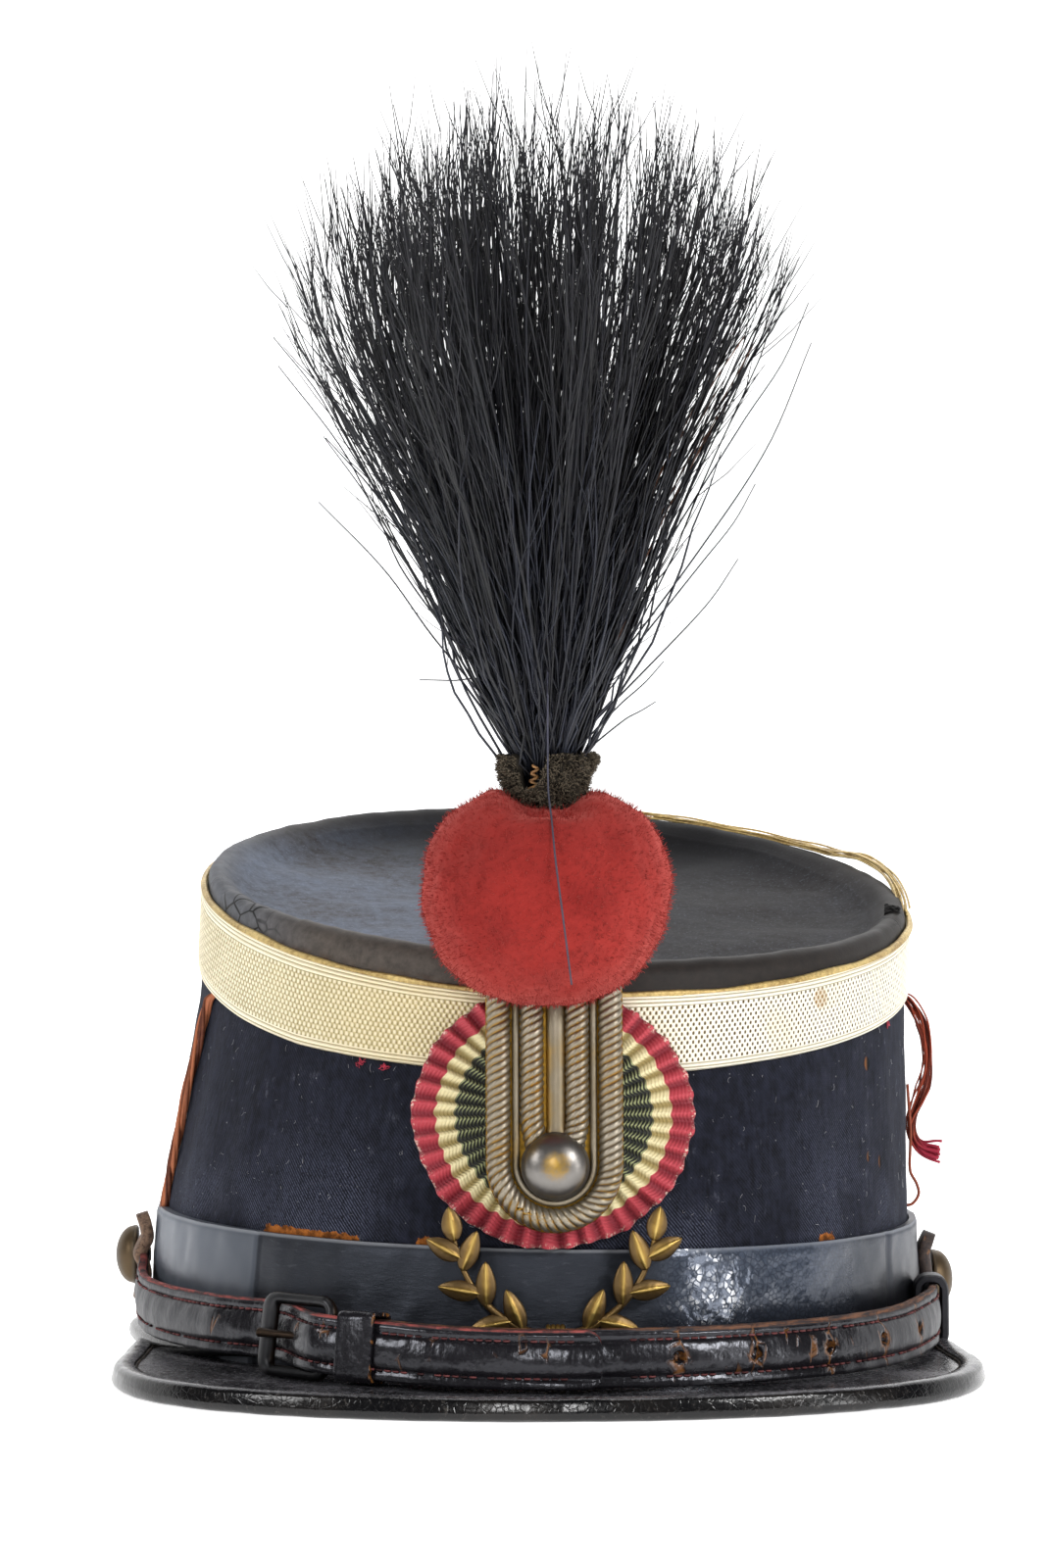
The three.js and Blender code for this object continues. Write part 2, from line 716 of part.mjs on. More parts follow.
function loopPlate() {
  const foot = PLATE_BOTTOM + PLATE_HALF_WIDTH;
  const shape = new THREE.Shape();
  shape.moveTo(-PLATE_HALF_WIDTH, PLATE_TOP);
  shape.lineTo(-PLATE_HALF_WIDTH, foot);
  shape.absarc(0, foot, PLATE_HALF_WIDTH, Math.PI, Math.PI * 2, false);
  shape.lineTo(PLATE_HALF_WIDTH, PLATE_TOP);
  const options = { depth: PLATE_THICKNESS, bevelEnabled: false, curveSegments: 9 };
  const sheet = new THREE.ExtrudeGeometry(shape, options).rotateX(Math.PI / 2);
  sheet.translate(0, -PLATE_BACK, 0);
  const face = -(PLATE_BACK + PLATE_THICKNESS);
  const ropeFoot = PLATE_BOTTOM + OUTER_ROPE_INSET;
  const outer = loopRoute(PLATE_HALF_WIDTH - OUTER_ROPE_INSET, PLATE_TOP - 0.6, ropeFoot, ROPE_STEP);
  const ropes = [rope(outer, ROPE_RADIUS)];
  const innerFoot = LOOP_BUTTON_HEIGHT + LOOP_BUTTON_RADIUS + 1;
  [-INNER_ROPE_X, INNER_ROPE_X].forEach((x) => {
    const line = spread(PLATE_TOP - 0.6, innerFoot, 8).map((z) => vector(x, 0, z));
    ropes.push(rope(line, ROPE_RADIUS));
  });
  ropes.forEach((strand) => strand.translate(0, face, 0));
  const spine = new THREE.BoxGeometry(2, 1.6, PLATE_TOP - innerFoot - 1.2);
  spine.translate(0, face - 0.4, (PLATE_TOP + innerFoot) / 2);
  return fuse([sheet, ...ropes, spine]);
}

function loopButton() {
  const foot = vector(0, -(PLATE_BACK + PLATE_THICKNESS + GAP), LOOP_BUTTON_HEIGHT);
  const place = new THREE.Matrix4().makeRotationX(Math.PI).setPosition(foot);
  return domedButton(LOOP_BUTTON_RADIUS, 0.8, place);
}

// A generic pair of leafy sprays tied at the foot
function laurelSpray() {
  const solids = [];
  [-1, 1].forEach((side) => {
    const stem = new THREE.QuadraticBezierCurve3(
      vector(side * 0.5, 0, SPRAY_BASE),
      vector(side * 17, 0, SPRAY_BASE + 4),
      vector(side * 20, 0, SPRAY_BASE + 20),
    );
    solids.push(roundPath(stem, 0.8, 5, 5));
    SPRAY_LEAVES.forEach(({ along, side: hand, length }) => {
      const foot = stem.getPoint(along);
      const way = stem.getTangent(along);
      const lean = Math.atan2(way.z, way.x) + hand * side * 0.75;
      const leaf = new THREE.SphereGeometry(1, 5, 3).scale(length / 2, 1.1, 1.9);
      leaf.translate(length / 2 - 1.2, 0, 0).rotateY(-lean).translate(foot.x, 0, foot.z);
      solids.push(mergeVertices(bareGeometry(leaf), 1e-3));
    });
  });
  const tie = new THREE.SphereGeometry(1, 7, 4).scale(3, 1.5, 2.2).translate(0, 0, SPRAY_BASE + 0.4);
  solids.push(mergeVertices(bareGeometry(tie), 1e-3));
  const spray = fuse(solids);
  const position = spray.getAttribute("position");
  for (let i = 0; i < position.count; i += 1) {
    const x = position.getX(i);
    const rise = position.getZ(i) - SPRAY_BASE;
    const bend = (x * x) / (2 * FRONT_CURVE);
    position.setY(i, position.getY(i) + 0.6 * bend - SPRAY_OUT - SPRAY_LEAN * rise);
  }
  return spray;
}

// Pompom and plume
function stemRoute() {
  const behindPlate = (height) => wallPoint(0, height, 6.7).setX(POMPOM_CENTRE.x).setZ(height);
  return new THREE.CatmullRomCurve3([
    behindPlate(60),
    behindPlate(70),
    behindPlate(80),
    vector(POMPOM_CENTRE.x, -97, 89),
    vector(POMPOM_CENTRE.x, POMPOM_CENTRE.y, 100),
    vector(POMPOM_CENTRE.x, POMPOM_CENTRE.y, 110),
    vector(POMPOM_CENTRE.x, POMPOM_CENTRE.y, SOCKET_BOTTOM + 1.6),
  ]);
}

function roundPath(curve, radius, sides, steps) {
  const angles = spread(0, 360, sides).slice(0, sides).map(radians);
  const corners = angles.map((a) => new THREE.Vector2(radius * Math.cos(a), radius * Math.sin(a)));
  const outline = new THREE.Shape(corners);
  const tube = new THREE.ExtrudeGeometry(outline, { steps, bevelEnabled: false, extrudePath: curve });
  return mergeVertices(bareGeometry(tube), 1e-3);
}

// A solid of revolution about the axis of the plume.
function plumeLathe(rows, sides, depth) {
  const rings = rows.map(({ reach, height }) =>
    spread(0, 360, sides)
      .slice(0, sides)
      .map((angle) => {
        const x = POMPOM_CENTRE.x + reach * Math.cos(radians(angle));
        const y = POMPOM_CENTRE.y + reach * depth(height) * Math.sin(radians(angle));
        return vector(x, y, height);
      }),
  );
  return skin(rings);
}

const roundDepth = () => 1;

// The space that the crown, the lace, the cockade and the plate take from the back of the pompom.
function pompomSeats() {
  const crown = [-24, 5.1].map((rise) =>
    spread(0, 360, ROUND)
      .slice(0, ROUND)
      .map((turn) => rimPoint(turn, GAP + LACE_THICKNESS + 0.4, rise)),
  );
  const block = (halfWidth, out, top) => {
    const box = new THREE.BoxGeometry(halfWidth * 2, out + 8, 40);
    box.translate(0, (8 - out) / 2, top - 20);
    return box.rotateX(-FRONT_LEAN).translate(0, wallPoint(0, 0, FRONT_BULGE).y, 0);
  };
  const plateFront = PLATE_BACK + PLATE_THICKNESS + ROPE_RADIUS;
  const plate = block(PLATE_HALF_WIDTH + 0.4, plateFront + 0.4, PLATE_TOP + 0.4);
  const rosette = block(24, COCKADE_OUT + 1.8, COCKADE_HEIGHT + COCKADE_RADIUS + 0.5);
  const collar = plumeLathe(
    [
      { reach: SOCKET_FOOT_RADIUS + 0.35, height: SOCKET_BOTTOM - 0.35 },
      { reach: SOCKET_LIP_RADIUS + 0.35, height: SOCKET_TOP },
    ],
    14,
    roundDepth,
  );
  return [skin(crown), plate, rosette, collar, roundPath(stemRoute(), STEM_RADIUS + GAP + 0.15, 6, 12)];
}

function pompom() {
  const core = mergeVertices(bareGeometry(new THREE.IcosahedronGeometry(0.95, 2)), 1e-4);
  const tufts = Array.from({ length: POMPOM_TUFTS }, (_, i) => {
    const rise = 1 - (2 * (i + 0.5)) / POMPOM_TUFTS;
    const ring = Math.sqrt(1 - rise * rise);
    const angle = i * 2.39996;
    const out = vector(ring * Math.cos(angle), ring * Math.sin(angle), rise);
    const spin = new THREE.Quaternion().setFromUnitVectors(vector(0, 1, 0), out);
    const tall = 0.985 + 0.03 * scatter(i, 3);
    const tuft = new THREE.CylinderGeometry(0.18, 0.26, 0.3, 4).translate(0, tall - 0.15, 0);
    return tuft.applyQuaternion(spin);
  });
  const ball = fuse([core, ...tufts]);
  ball.scale(POMPOM_HALF.x, POMPOM_HALF.y, POMPOM_HALF.z);
  ball.translate(POMPOM_CENTRE.x, POMPOM_CENTRE.y, POMPOM_CENTRE.z);
  return carve(ball, pompomSeats());
}

function plumeSocket() {
  const cup = plumeLathe(
    [
      { reach: SOCKET_FOOT_RADIUS, height: SOCKET_BOTTOM },
      { reach: SOCKET_FOOT_RADIUS + 0.9, height: (SOCKET_BOTTOM + SOCKET_TOP) / 2 },
      { reach: SOCKET_LIP_RADIUS, height: SOCKET_TOP },
    ],
    14,
    roundDepth,
  );
  const hollow = plumeLathe(
    [
      { reach: 5.4, height: SOCKET_BOTTOM + 2 },
      { reach: 6.9, height: SOCKET_TOP + 0.3 },
    ],
    12,
    roundDepth,
  );
  return carve(cup, [hollow, roundPath(stemRoute(), STEM_RADIUS + GAP + 0.15, 6, 12)]);
}

// One lock of bristles from its root to its tip.
function lock(root, tip, girth) {
  const bow = vector(lerp(root.x, tip.x, 0.62), lerp(root.y, tip.y, 0.62), lerp(root.z, tip.z, 0.5));
  const curve = new THREE.QuadraticBezierCurve3(root, bow, tip);
  const rows = [
    { along: 0, width: 0.3 },
    { along: 0.6, width: 0.85 },
    { along: 0.84, width: 1 },
    { along: 1, width: 0.16 },
  ];
  const rings = rows.map(({ along, width }) => {
    const centre = curve.getPoint(along);
    const way = curve.getTangent(along);
    const spin = new THREE.Quaternion().setFromUnitVectors(vector(0, 0, 1), way);
    return spread(0, 360, 4)
      .slice(0, 4)
      .map((angle) => {
        const r = girth * width;
        const p = vector(r * Math.cos(radians(angle)), r * Math.sin(radians(angle)), 0);
        return p.applyQuaternion(spin).add(centre);
      });
  });
  return skin(rings);
}

function plume() {
  const depth = (height) => lerp(1, PLUME_DEPTH, THREE.MathUtils.clamp((height - SOCKET_TOP) / 30, 0, 1));
  const core = plumeLathe(
    PLUME_CORE.map(({ reach, rise }) => ({ reach, height: SOCKET_TOP + rise })),
    12,
    depth,
  );
  const locks = LOCK_RINGS.flatMap((ring, row) =>
    Array.from({ length: ring.count }, (_, i) => {
      const angle = ring.start + (i * 2 * Math.PI) / ring.count;
      const place = (reach, rise) => {
        const x = POMPOM_CENTRE.x + reach * Math.cos(angle);
        const y = POMPOM_CENTRE.y + reach * PLUME_DEPTH * Math.sin(angle);
        return vector(x, y, SOCKET_TOP + rise);
      };
      const tall = ring.tipRise + 8 * (scatter(i, row) - 0.5);
      return lock(place(ring.rootReach, ring.rootRise), place(ring.tipReach, tall), ring.girth);
    }),
  );
  return fuse([core, ...locks]);
}

// Red piping
function pipingLeft() {
  const rings = spread(PIPING_LEFT_ROUTE.at(-1).height, PIPING_LEFT_ROUTE[0].height, 10).map((height) => {
    const rows = [...PIPING_LEFT_ROUTE].reverse();
    const turn = sample(rows, "height", height, "turn");
    const half = THREE.MathUtils.radToDeg(PIPING_HALF_WIDTH / 92);
    const section = [
      { side: -1, out: 0 },
      { side: 1, out: 0 },
      { side: 1, out: 0.5 },
      { side: 0.5, out: 1 },
      { side: -0.5, out: 1 },
      { side: -1, out: 0.5 },
    ];
    return section.map(({ side, out }) =>
      wallPoint(turn + side * half, height, GAP + 0.1 + out * PIPING_THICKNESS),
    );
  });
  return skin(rings);
}

function pipingRight() {
  const route = PIPING_RIGHT_ROUTE.map(({ x, y, z }) => vector(x, y, z));
  return roundPath(new THREE.CatmullRomCurve3(route), PIPING_RIGHT_RADIUS, 8, 16);
}

function kepi() {
  const tailHigh = TAIL_LIFT + STRAP_THICKNESS / 2;
  const low = -STRAP_THICKNESS / 2;
  const hat = new THREE.Group();
  hat.add(
    piece("body_wall", bodyWall(), "wool"),
    piece("crown_top", crownTop(), "leather"),
    piece("lace_band", laceBand(), "lace"),
    piece("lower_band", lowerBand(), "patent"),
    piece("peak", peak(), "patent"),
    piece("peak_binding", peakBinding(), "patent"),
    piece("peak_welt", peakWelt(), "patent"),
    piece("strap_left", carve(strapLeft(), [tongueBar(0.75 + GAP)]), "strap"),
    piece("strap_right", strapRight(), "strap"),
    piece("strap_keeper", strapLoop(KEEPER_TURN, low, tailHigh), "strap"),
    piece("strap_slide", strapLoop(SLIDE_TURN, low, -low), "strap"),
    piece("buckle_frame", buckleFrame(), "iron"),
    piece("buckle_tongue", tongueBar(0.75), "iron"),
    ...SIDE_BUTTONS.map((row) => piece(row.name, sideButton(row), "brass")),
    piece("plume_stem", roundPath(stemRoute(), STEM_RADIUS, 6, 12), "iron"),
    piece("pompom", pompom(), "redwool"),
    piece("plume_socket", plumeSocket(), "chenille"),
    piece("plume", plume(), "bristle"),
    piece("piping_left", pipingLeft(), "braid"),
  );
  const front = frontGroup();
  front.add(
    piece("cockade", cockade(), "ribbon"),
    piece("loop_plate", loopPlate(), "silvered"),
    piece("loop_button", loopButton(), "brass"),
    piece("laurel_spray", laurelSpray(), "brass"),
  );
  hat.add(front);
  const extent = new THREE.Box3().setFromObject(hat, true);
  const middle = extent.getCenter(vector(0, 0, 0));
  hat.position.set(-middle.x, -middle.y, -extent.min.z);
  hat.add(piece("piping_right", pipingRight(), "braid"));
  const root = new THREE.Group();
  root.name = "kepi";
  root.add(hat);
  return root;
}

export default kepi();
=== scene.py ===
"""Dresses the kepi: cloth, leather, lace, ribbon, metal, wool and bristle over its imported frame.

Sizes in the classes are millimetres in the hat's own frame: the origin is the middle of the lower oval,
the front faces -Y and +Z is up. A turn is an angle in degrees round the hat from its front, positive
towards +X. A stand-off is a distance outwards from the surface of the lower band.
"""

from __future__ import annotations

import json
import logging
import math
from dataclasses import dataclass
from enum import Enum
from typing import Any, ClassVar, Mapping, Sequence, Union

import bpy
import numpy as np
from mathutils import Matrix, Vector

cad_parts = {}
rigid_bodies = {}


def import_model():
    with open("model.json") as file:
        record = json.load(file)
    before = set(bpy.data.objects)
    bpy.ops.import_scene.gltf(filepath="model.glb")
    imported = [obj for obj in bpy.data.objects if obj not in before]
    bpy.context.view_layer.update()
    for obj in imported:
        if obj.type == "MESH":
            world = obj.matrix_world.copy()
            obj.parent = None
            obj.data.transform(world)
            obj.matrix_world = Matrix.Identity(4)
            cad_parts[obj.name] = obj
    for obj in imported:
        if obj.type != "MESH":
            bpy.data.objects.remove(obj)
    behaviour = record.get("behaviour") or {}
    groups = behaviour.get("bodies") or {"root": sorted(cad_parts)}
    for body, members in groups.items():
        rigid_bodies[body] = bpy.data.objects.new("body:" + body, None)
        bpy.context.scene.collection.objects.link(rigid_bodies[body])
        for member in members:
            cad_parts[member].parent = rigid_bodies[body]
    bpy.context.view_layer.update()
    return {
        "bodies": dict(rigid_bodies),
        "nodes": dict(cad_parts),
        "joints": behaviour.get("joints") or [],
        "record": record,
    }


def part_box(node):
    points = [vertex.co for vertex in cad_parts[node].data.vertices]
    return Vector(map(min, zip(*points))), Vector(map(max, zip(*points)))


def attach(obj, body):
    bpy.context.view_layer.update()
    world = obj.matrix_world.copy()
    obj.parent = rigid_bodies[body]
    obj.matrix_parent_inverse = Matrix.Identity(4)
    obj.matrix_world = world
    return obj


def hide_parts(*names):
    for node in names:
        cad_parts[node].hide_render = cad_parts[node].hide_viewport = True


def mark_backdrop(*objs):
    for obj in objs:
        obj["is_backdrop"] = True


LOG = logging.getLogger("kepi")
MM = 0.001
ROOT = "root"
FULL = 360.0
# last turn of a ring, just short of its first, so that no mark smears over the join
LAST_TURN = 179.98
# angle in radians that spreads points evenly over a ball
GOLDEN_ANGLE = 2.399963

Array = np.ndarray
Material = bpy.types.Material
Piece = bpy.types.Object
Colour = tuple[float, float, float, float]
Point = tuple[float, float, float]
Rows = tuple[tuple[float, ...], ...]
Marks = Mapping[str, Array]


class Slot(str, Enum):
    """The record's material slots."""

    WOOL = "wool"
    LEATHER = "leather"
    PATENT = "patent"
    STRAP = "strap"
    LACE = "lace"
    RIBBON = "ribbon"
    SILVERED = "silvered"
    BRASS = "brass"
    IRON = "iron"
    REDWOOL = "redwool"
    BRISTLE = "bristle"
    CHENILLE = "chenille"
    BRAID = "braid"


class Side(Enum):
    """The hat's two sides as the camera sees them."""

    LEFT = -1
    RIGHT = 1


# Numbers and curves


def tint(code: str) -> Colour:
    """Linear colour of a hex code, fully opaque."""
    channels = [int(code[i : i + 2], 16) / 255 for i in (1, 3, 5)]
    linear = [c / 12.92 if c <= 0.04045 else ((c + 0.055) / 1.055) ** 2.4 for c in channels]
    return (linear[0], linear[1], linear[2], 1.0)


def spline(keys: Sequence[float], values: Sequence[float], at: Any) -> Array:
    """Smooth curve through the rows of a short table.

    Args:
        keys: rising keys of the rows.
        values: value of each row.
        at: keys to read the curve at, held to the table's range.

    Returns:
        The curve's values.
    """
    k = np.asarray(keys, float)
    v = np.asarray(values, float)
    index = np.arange(len(k))
    low = np.maximum(index - 1, 0)
    high = np.minimum(index + 1, len(k) - 1)
    slope = (v[high] - v[low]) / (k[high] - k[low])
    held = np.clip(np.asarray(at, float), k[0], k[-1])
    n = np.clip(np.searchsorted(k, held), 1, len(k) - 1)
    span = k[n] - k[n - 1]
    t = (held - k[n - 1]) / span
    start = (2 * t**3 - 3 * t**2 + 1) * v[n - 1] + (t**3 - 2 * t**2 + t) * slope[n - 1] * span
    return start + (3 * t**2 - 2 * t**3) * v[n] + (t**3 - t**2) * slope[n] * span


def rows_curve(rows: Rows, column: int, at: Any) -> Array:
    """Smooth value of one column of a table whose first column is the key."""
    return spline([row[0] for row in rows], [row[column] for row in rows], at)


def rows_line(rows: Rows, column: int, at: Any) -> Array:
    """Value of one column of a table, in straight lines from row to row."""
    return np.interp(at, [row[0] for row in rows], [row[column] for row in rows])


def smooth_step(value: Array, low: float, high: float) -> Array:
    """Soft rise from 0 at low to 1 at high."""
    t = np.clip((value - low) / (high - low), 0, 1)
    return t * t * (3 - 2 * t)


def bell(away: Any, width: float) -> Array:
    """Soft bump: 1 in the middle, falling off over a width."""
    return np.exp(-((away / width) ** 2))


def unit(vectors: Array) -> Array:
    """Vectors brought to length 1."""
    return vectors / np.maximum(np.linalg.norm(vectors, axis=-1, keepdims=True), 1e-9)


def ripple(points: Array, size: float, seed: int, waves: int = 10) -> Array:
    """Smooth unevenness in space, a sum of waves in random ways.

    Args:
        points: places in millimetres.
        size: usual distance from crest to crest.
        seed: seed of the random ways.
        waves: number of waves.

    Returns:
        A value for each place, about -1.5 to 1.5.
    """
    rng = np.random.default_rng(seed)
    ways = unit(rng.normal(size=(waves, 3)))
    pitch = size * rng.uniform(0.6, 1.7, waves)
    phase = rng.uniform(0, 2 * np.pi, waves)
    total = np.zeros(points.shape[:-1])
    for way, length, start in zip(ways, pitch, phase):
        total += np.sin(2 * np.pi * (points @ way) / length + start)
    return total / math.sqrt(waves)


def round_turns(count: int) -> Array:
    """Turns all the way round, with the last one close to the join."""
    return np.append(np.linspace(-180, 180, count - 1, endpoint=False), LAST_TURN)


def round_box(low: tuple[float, float], high: tuple[float, float], corner: float, count: int) -> Array:
    """Places round a box with round corners, each with its direction outwards.

    Args:
        low: lowest values of the box.
        high: highest values of it.
        corner: radius of its corners.
        count: points on each corner.

    Returns:
        For each point, its two values and the two parts of its direction.
    """
    rows = []
    for right, upper, start in ((1, 1, 0), (0, 1, 90), (0, 0, 180), (1, 0, 270)):
        first = high[0] - corner if right else low[0] + corner
        second = high[1] - corner if upper else low[1] + corner
        for angle in np.radians(np.linspace(start, start + 90, count)):
            c, s = math.cos(angle), math.sin(angle)
            rows.append((first + corner * c, second + corner * s, c, s))
    return np.asarray(rows)


def run_along(path: Array) -> Array:
    """Distance along a path at each of its points."""
    return np.concatenate([[0], np.cumsum(np.linalg.norm(np.diff(path, axis=0), axis=1))])


def read_along(run: Array, line: Array, spots: Array) -> Array:
    """Places or directions of a line at distances along it."""
    return np.stack([np.interp(spots, run, line[:, i]) for i in range(3)], -1)


def smooth_path(points: Sequence[Point], count: int) -> Array:
    """Evenly spaced places on a smooth curve through a few points.

    Args:
        points: points that the curve goes through.
        count: number of places.

    Returns:
        An array of count places.
    """
    p = np.asarray(points, float)
    keys = run_along(p)
    fine = np.stack([spline(keys, p[:, i], np.linspace(0, keys[-1], 600)) for i in range(3)], -1)
    run = run_along(fine)
    return read_along(run, fine, np.linspace(0, run[-1], count))


def path_frames(paths: Array) -> tuple[Array, Array, Array]:
    """Directions along and across a batch of paths.

    Args:
        paths: array of n paths of m points.

    Returns:
        Unit vectors along each path, and two across it.
    """
    along = unit(np.gradient(paths, axis=1))
    mean = np.abs(unit(paths[:, -1] - paths[:, 0]))
    helper = np.eye(3)[np.argmin(mean, axis=1)]
    side = unit(np.cross(along, helper[:, None, :]))
    return along, side, np.cross(along, side)


# Shader nodes


class Socket:
    """A shader socket, with maths on it written as Python expressions."""

    def __init__(self, recipe: "Recipe", end: bpy.types.NodeSocket) -> None:
        """Keep the socket and the recipe that it is in."""
        self.recipe = recipe
        self.end = end

    def maths(self, operation: str, first: "Number", second: "Number" = 0.0) -> "Socket":
        """One Math node on two numbers."""
        return self.recipe.node("ShaderNodeMath", {"operation": operation}, {0: first, 1: second})

    def __add__(self, other: "Number") -> "Socket":
        """Sum."""
        return self.maths("ADD", self, other)

    def __radd__(self, other: float) -> "Socket":
        """Sum with the number first."""
        return self.maths("ADD", other, self)

    def __sub__(self, other: "Number") -> "Socket":
        """Difference."""
        return self.maths("SUBTRACT", self, other)

    def __rsub__(self, other: float) -> "Socket":
        """Difference with the number first."""
        return self.maths("SUBTRACT", other, self)

    def __mul__(self, other: "Number") -> "Socket":
        """Product."""
        return self.maths("MULTIPLY", self, other)

    def __rmul__(self, other: float) -> "Socket":
        """Product with the number first."""
        return self.maths("MULTIPLY", other, self)

    def __truediv__(self, other: "Number") -> "Socket":
        """Quotient."""
        return self.maths("DIVIDE", self, other)

    def __pow__(self, other: "Number") -> "Socket":
        """Power."""
        return self.maths("POWER", self, other)

    def sine(self) -> "Socket":
        """Sine of an angle in radians."""
        return self.maths("SINE", self)

    def size(self) -> "Socket":
        """The value without its sign."""
        return self.maths("ABSOLUTE", self)

    def whole(self) -> "Socket":
        """The whole number at or below the value."""
        return self.maths("FLOOR", self)

    def larger(self, other: "Number") -> "Socket":
        """The larger of two numbers."""
        return self.maths("MAXIMUM", self, other)

    def smaller(self, other: "Number") -> "Socket":
        """The smaller of two numbers."""
        return self.maths("MINIMUM", self, other)

    def step(self, low: float, high: float) -> "Socket":
        """Soft rise from 0 at low to 1 at high."""
        settings = {"interpolation_type": "SMOOTHSTEP"}
        return self.recipe.node("ShaderNodeMapRange", settings, {0: self, 1: low, 2: high})


Number = Union[float, Socket]


class Recipe:
    """The node tree of one material."""

    def __init__(self, name: str) -> None:
        """Start an empty material of that name."""
        self.material = bpy.data.materials.new(name)
        self.material.use_nodes = True
        self.tree = self.material.node_tree
        self.tree.nodes.clear()

    def node(
        self,
        kind: str,
        settings: Mapping[str, Any] | None = None,
        sockets: Mapping[Any, Any] | None = None,
        output: int | str = 0,
    ) -> Socket:
        """Add one node.

        Args:
            kind: the node's type.
            settings: its options, set first.
            sockets: values, hex colours or links of its inputs, by name or number.
            output: the output to give back.

        Returns:
            That output.
        """
        made = self.tree.nodes.new(kind)
        for key, value in (settings or {}).items():
            setattr(made, key, value)
        for key, value in (sockets or {}).items():
            if isinstance(value, Socket):
                self.tree.links.new(value.end, made.inputs[key])
            else:
                made.inputs[key].default_value = tint(value) if isinstance(value, str) else value
        return Socket(self, made.outputs[output] if len(made.outputs) else None)

    def place(self) -> Socket:
        """Place on the piece in millimetres."""
        metres = self.node("ShaderNodeTexCoord", output="Object")
        return self.scaled(metres, (1 / MM, 1 / MM, 1 / MM))

    def scaled(self, vector: Socket, factors: Point) -> Socket:
        """Vector with each part times its factor."""
        return self.node("ShaderNodeVectorMath", {"operation": "MULTIPLY"}, {0: vector, 1: factors})

    def mark(self, name: str) -> Socket:
        """Number kept on the mesh under a name."""
        return self.node("ShaderNodeAttribute", {"attribute_name": name}, output="Fac")

    def mark_vector(self, name: str) -> Socket:
        """Three numbers kept on the mesh under a name."""
        return self.node("ShaderNodeAttribute", {"attribute_name": name}, output="Vector")

    def split(self, vector: Socket) -> tuple[Socket, Socket, Socket]:
        """The three parts of a vector."""
        first = self.node("ShaderNodeSeparateXYZ", sockets={0: vector})
        outputs = first.end.node.outputs
        return first, Socket(self, outputs[1]), Socket(self, outputs[2])

    def noise(self, at: Socket, size: float, detail: float = 3.0, rough: float = 0.55) -> Socket:
        """Cloudy noise with blotches of about that size in millimetres."""
        sockets = {"Vector": at, "Scale": 1 / size, "Detail": detail, "Roughness": rough}
        return self.node("ShaderNodeTexNoise", sockets=sockets)

    def cells(self, at: Socket, size: float, feature: str = "F1") -> Socket:
        """Distance in a field of cells of about that size in millimetres."""
        sockets = {"Vector": at, "Scale": 1 / size}
        return self.node("ShaderNodeTexVoronoi", {"feature": feature}, sockets, "Distance")

    def mix(self, share: Number, first: Socket | str, second: Socket | str) -> Socket:
        """Colour between two colours."""
        return self.node("ShaderNodeMix", {"data_type": "RGBA"}, {0: share, 6: first, 7: second}, 2)

    def bump(self, height: Socket, depth: float, strength: float = 1.0) -> Socket:
        """Normal raised by a height of 0 to 1 over a depth in millimetres."""
        sockets = {"Height": height, "Distance": depth * MM, "Strength": strength}
        return self.node("ShaderNodeBump", sockets=sockets)

    def surface(self, colour: Socket, rough: Number, more: Mapping[str, Any]) -> Material:
        """Close the recipe with one surface shader.

        Args:
            colour: the shader's base colour.
            rough: its roughness.
            more: values and links of its other inputs.

        Returns:
            The material.
        """
        sockets = {"Base Color": colour, "Roughness": rough, **more}
        shader = self.node("ShaderNodeBsdfPrincipled", sockets=sockets)
        self.node("ShaderNodeOutputMaterial", sockets={"Surface": shader})
        return self.material


# Meshes


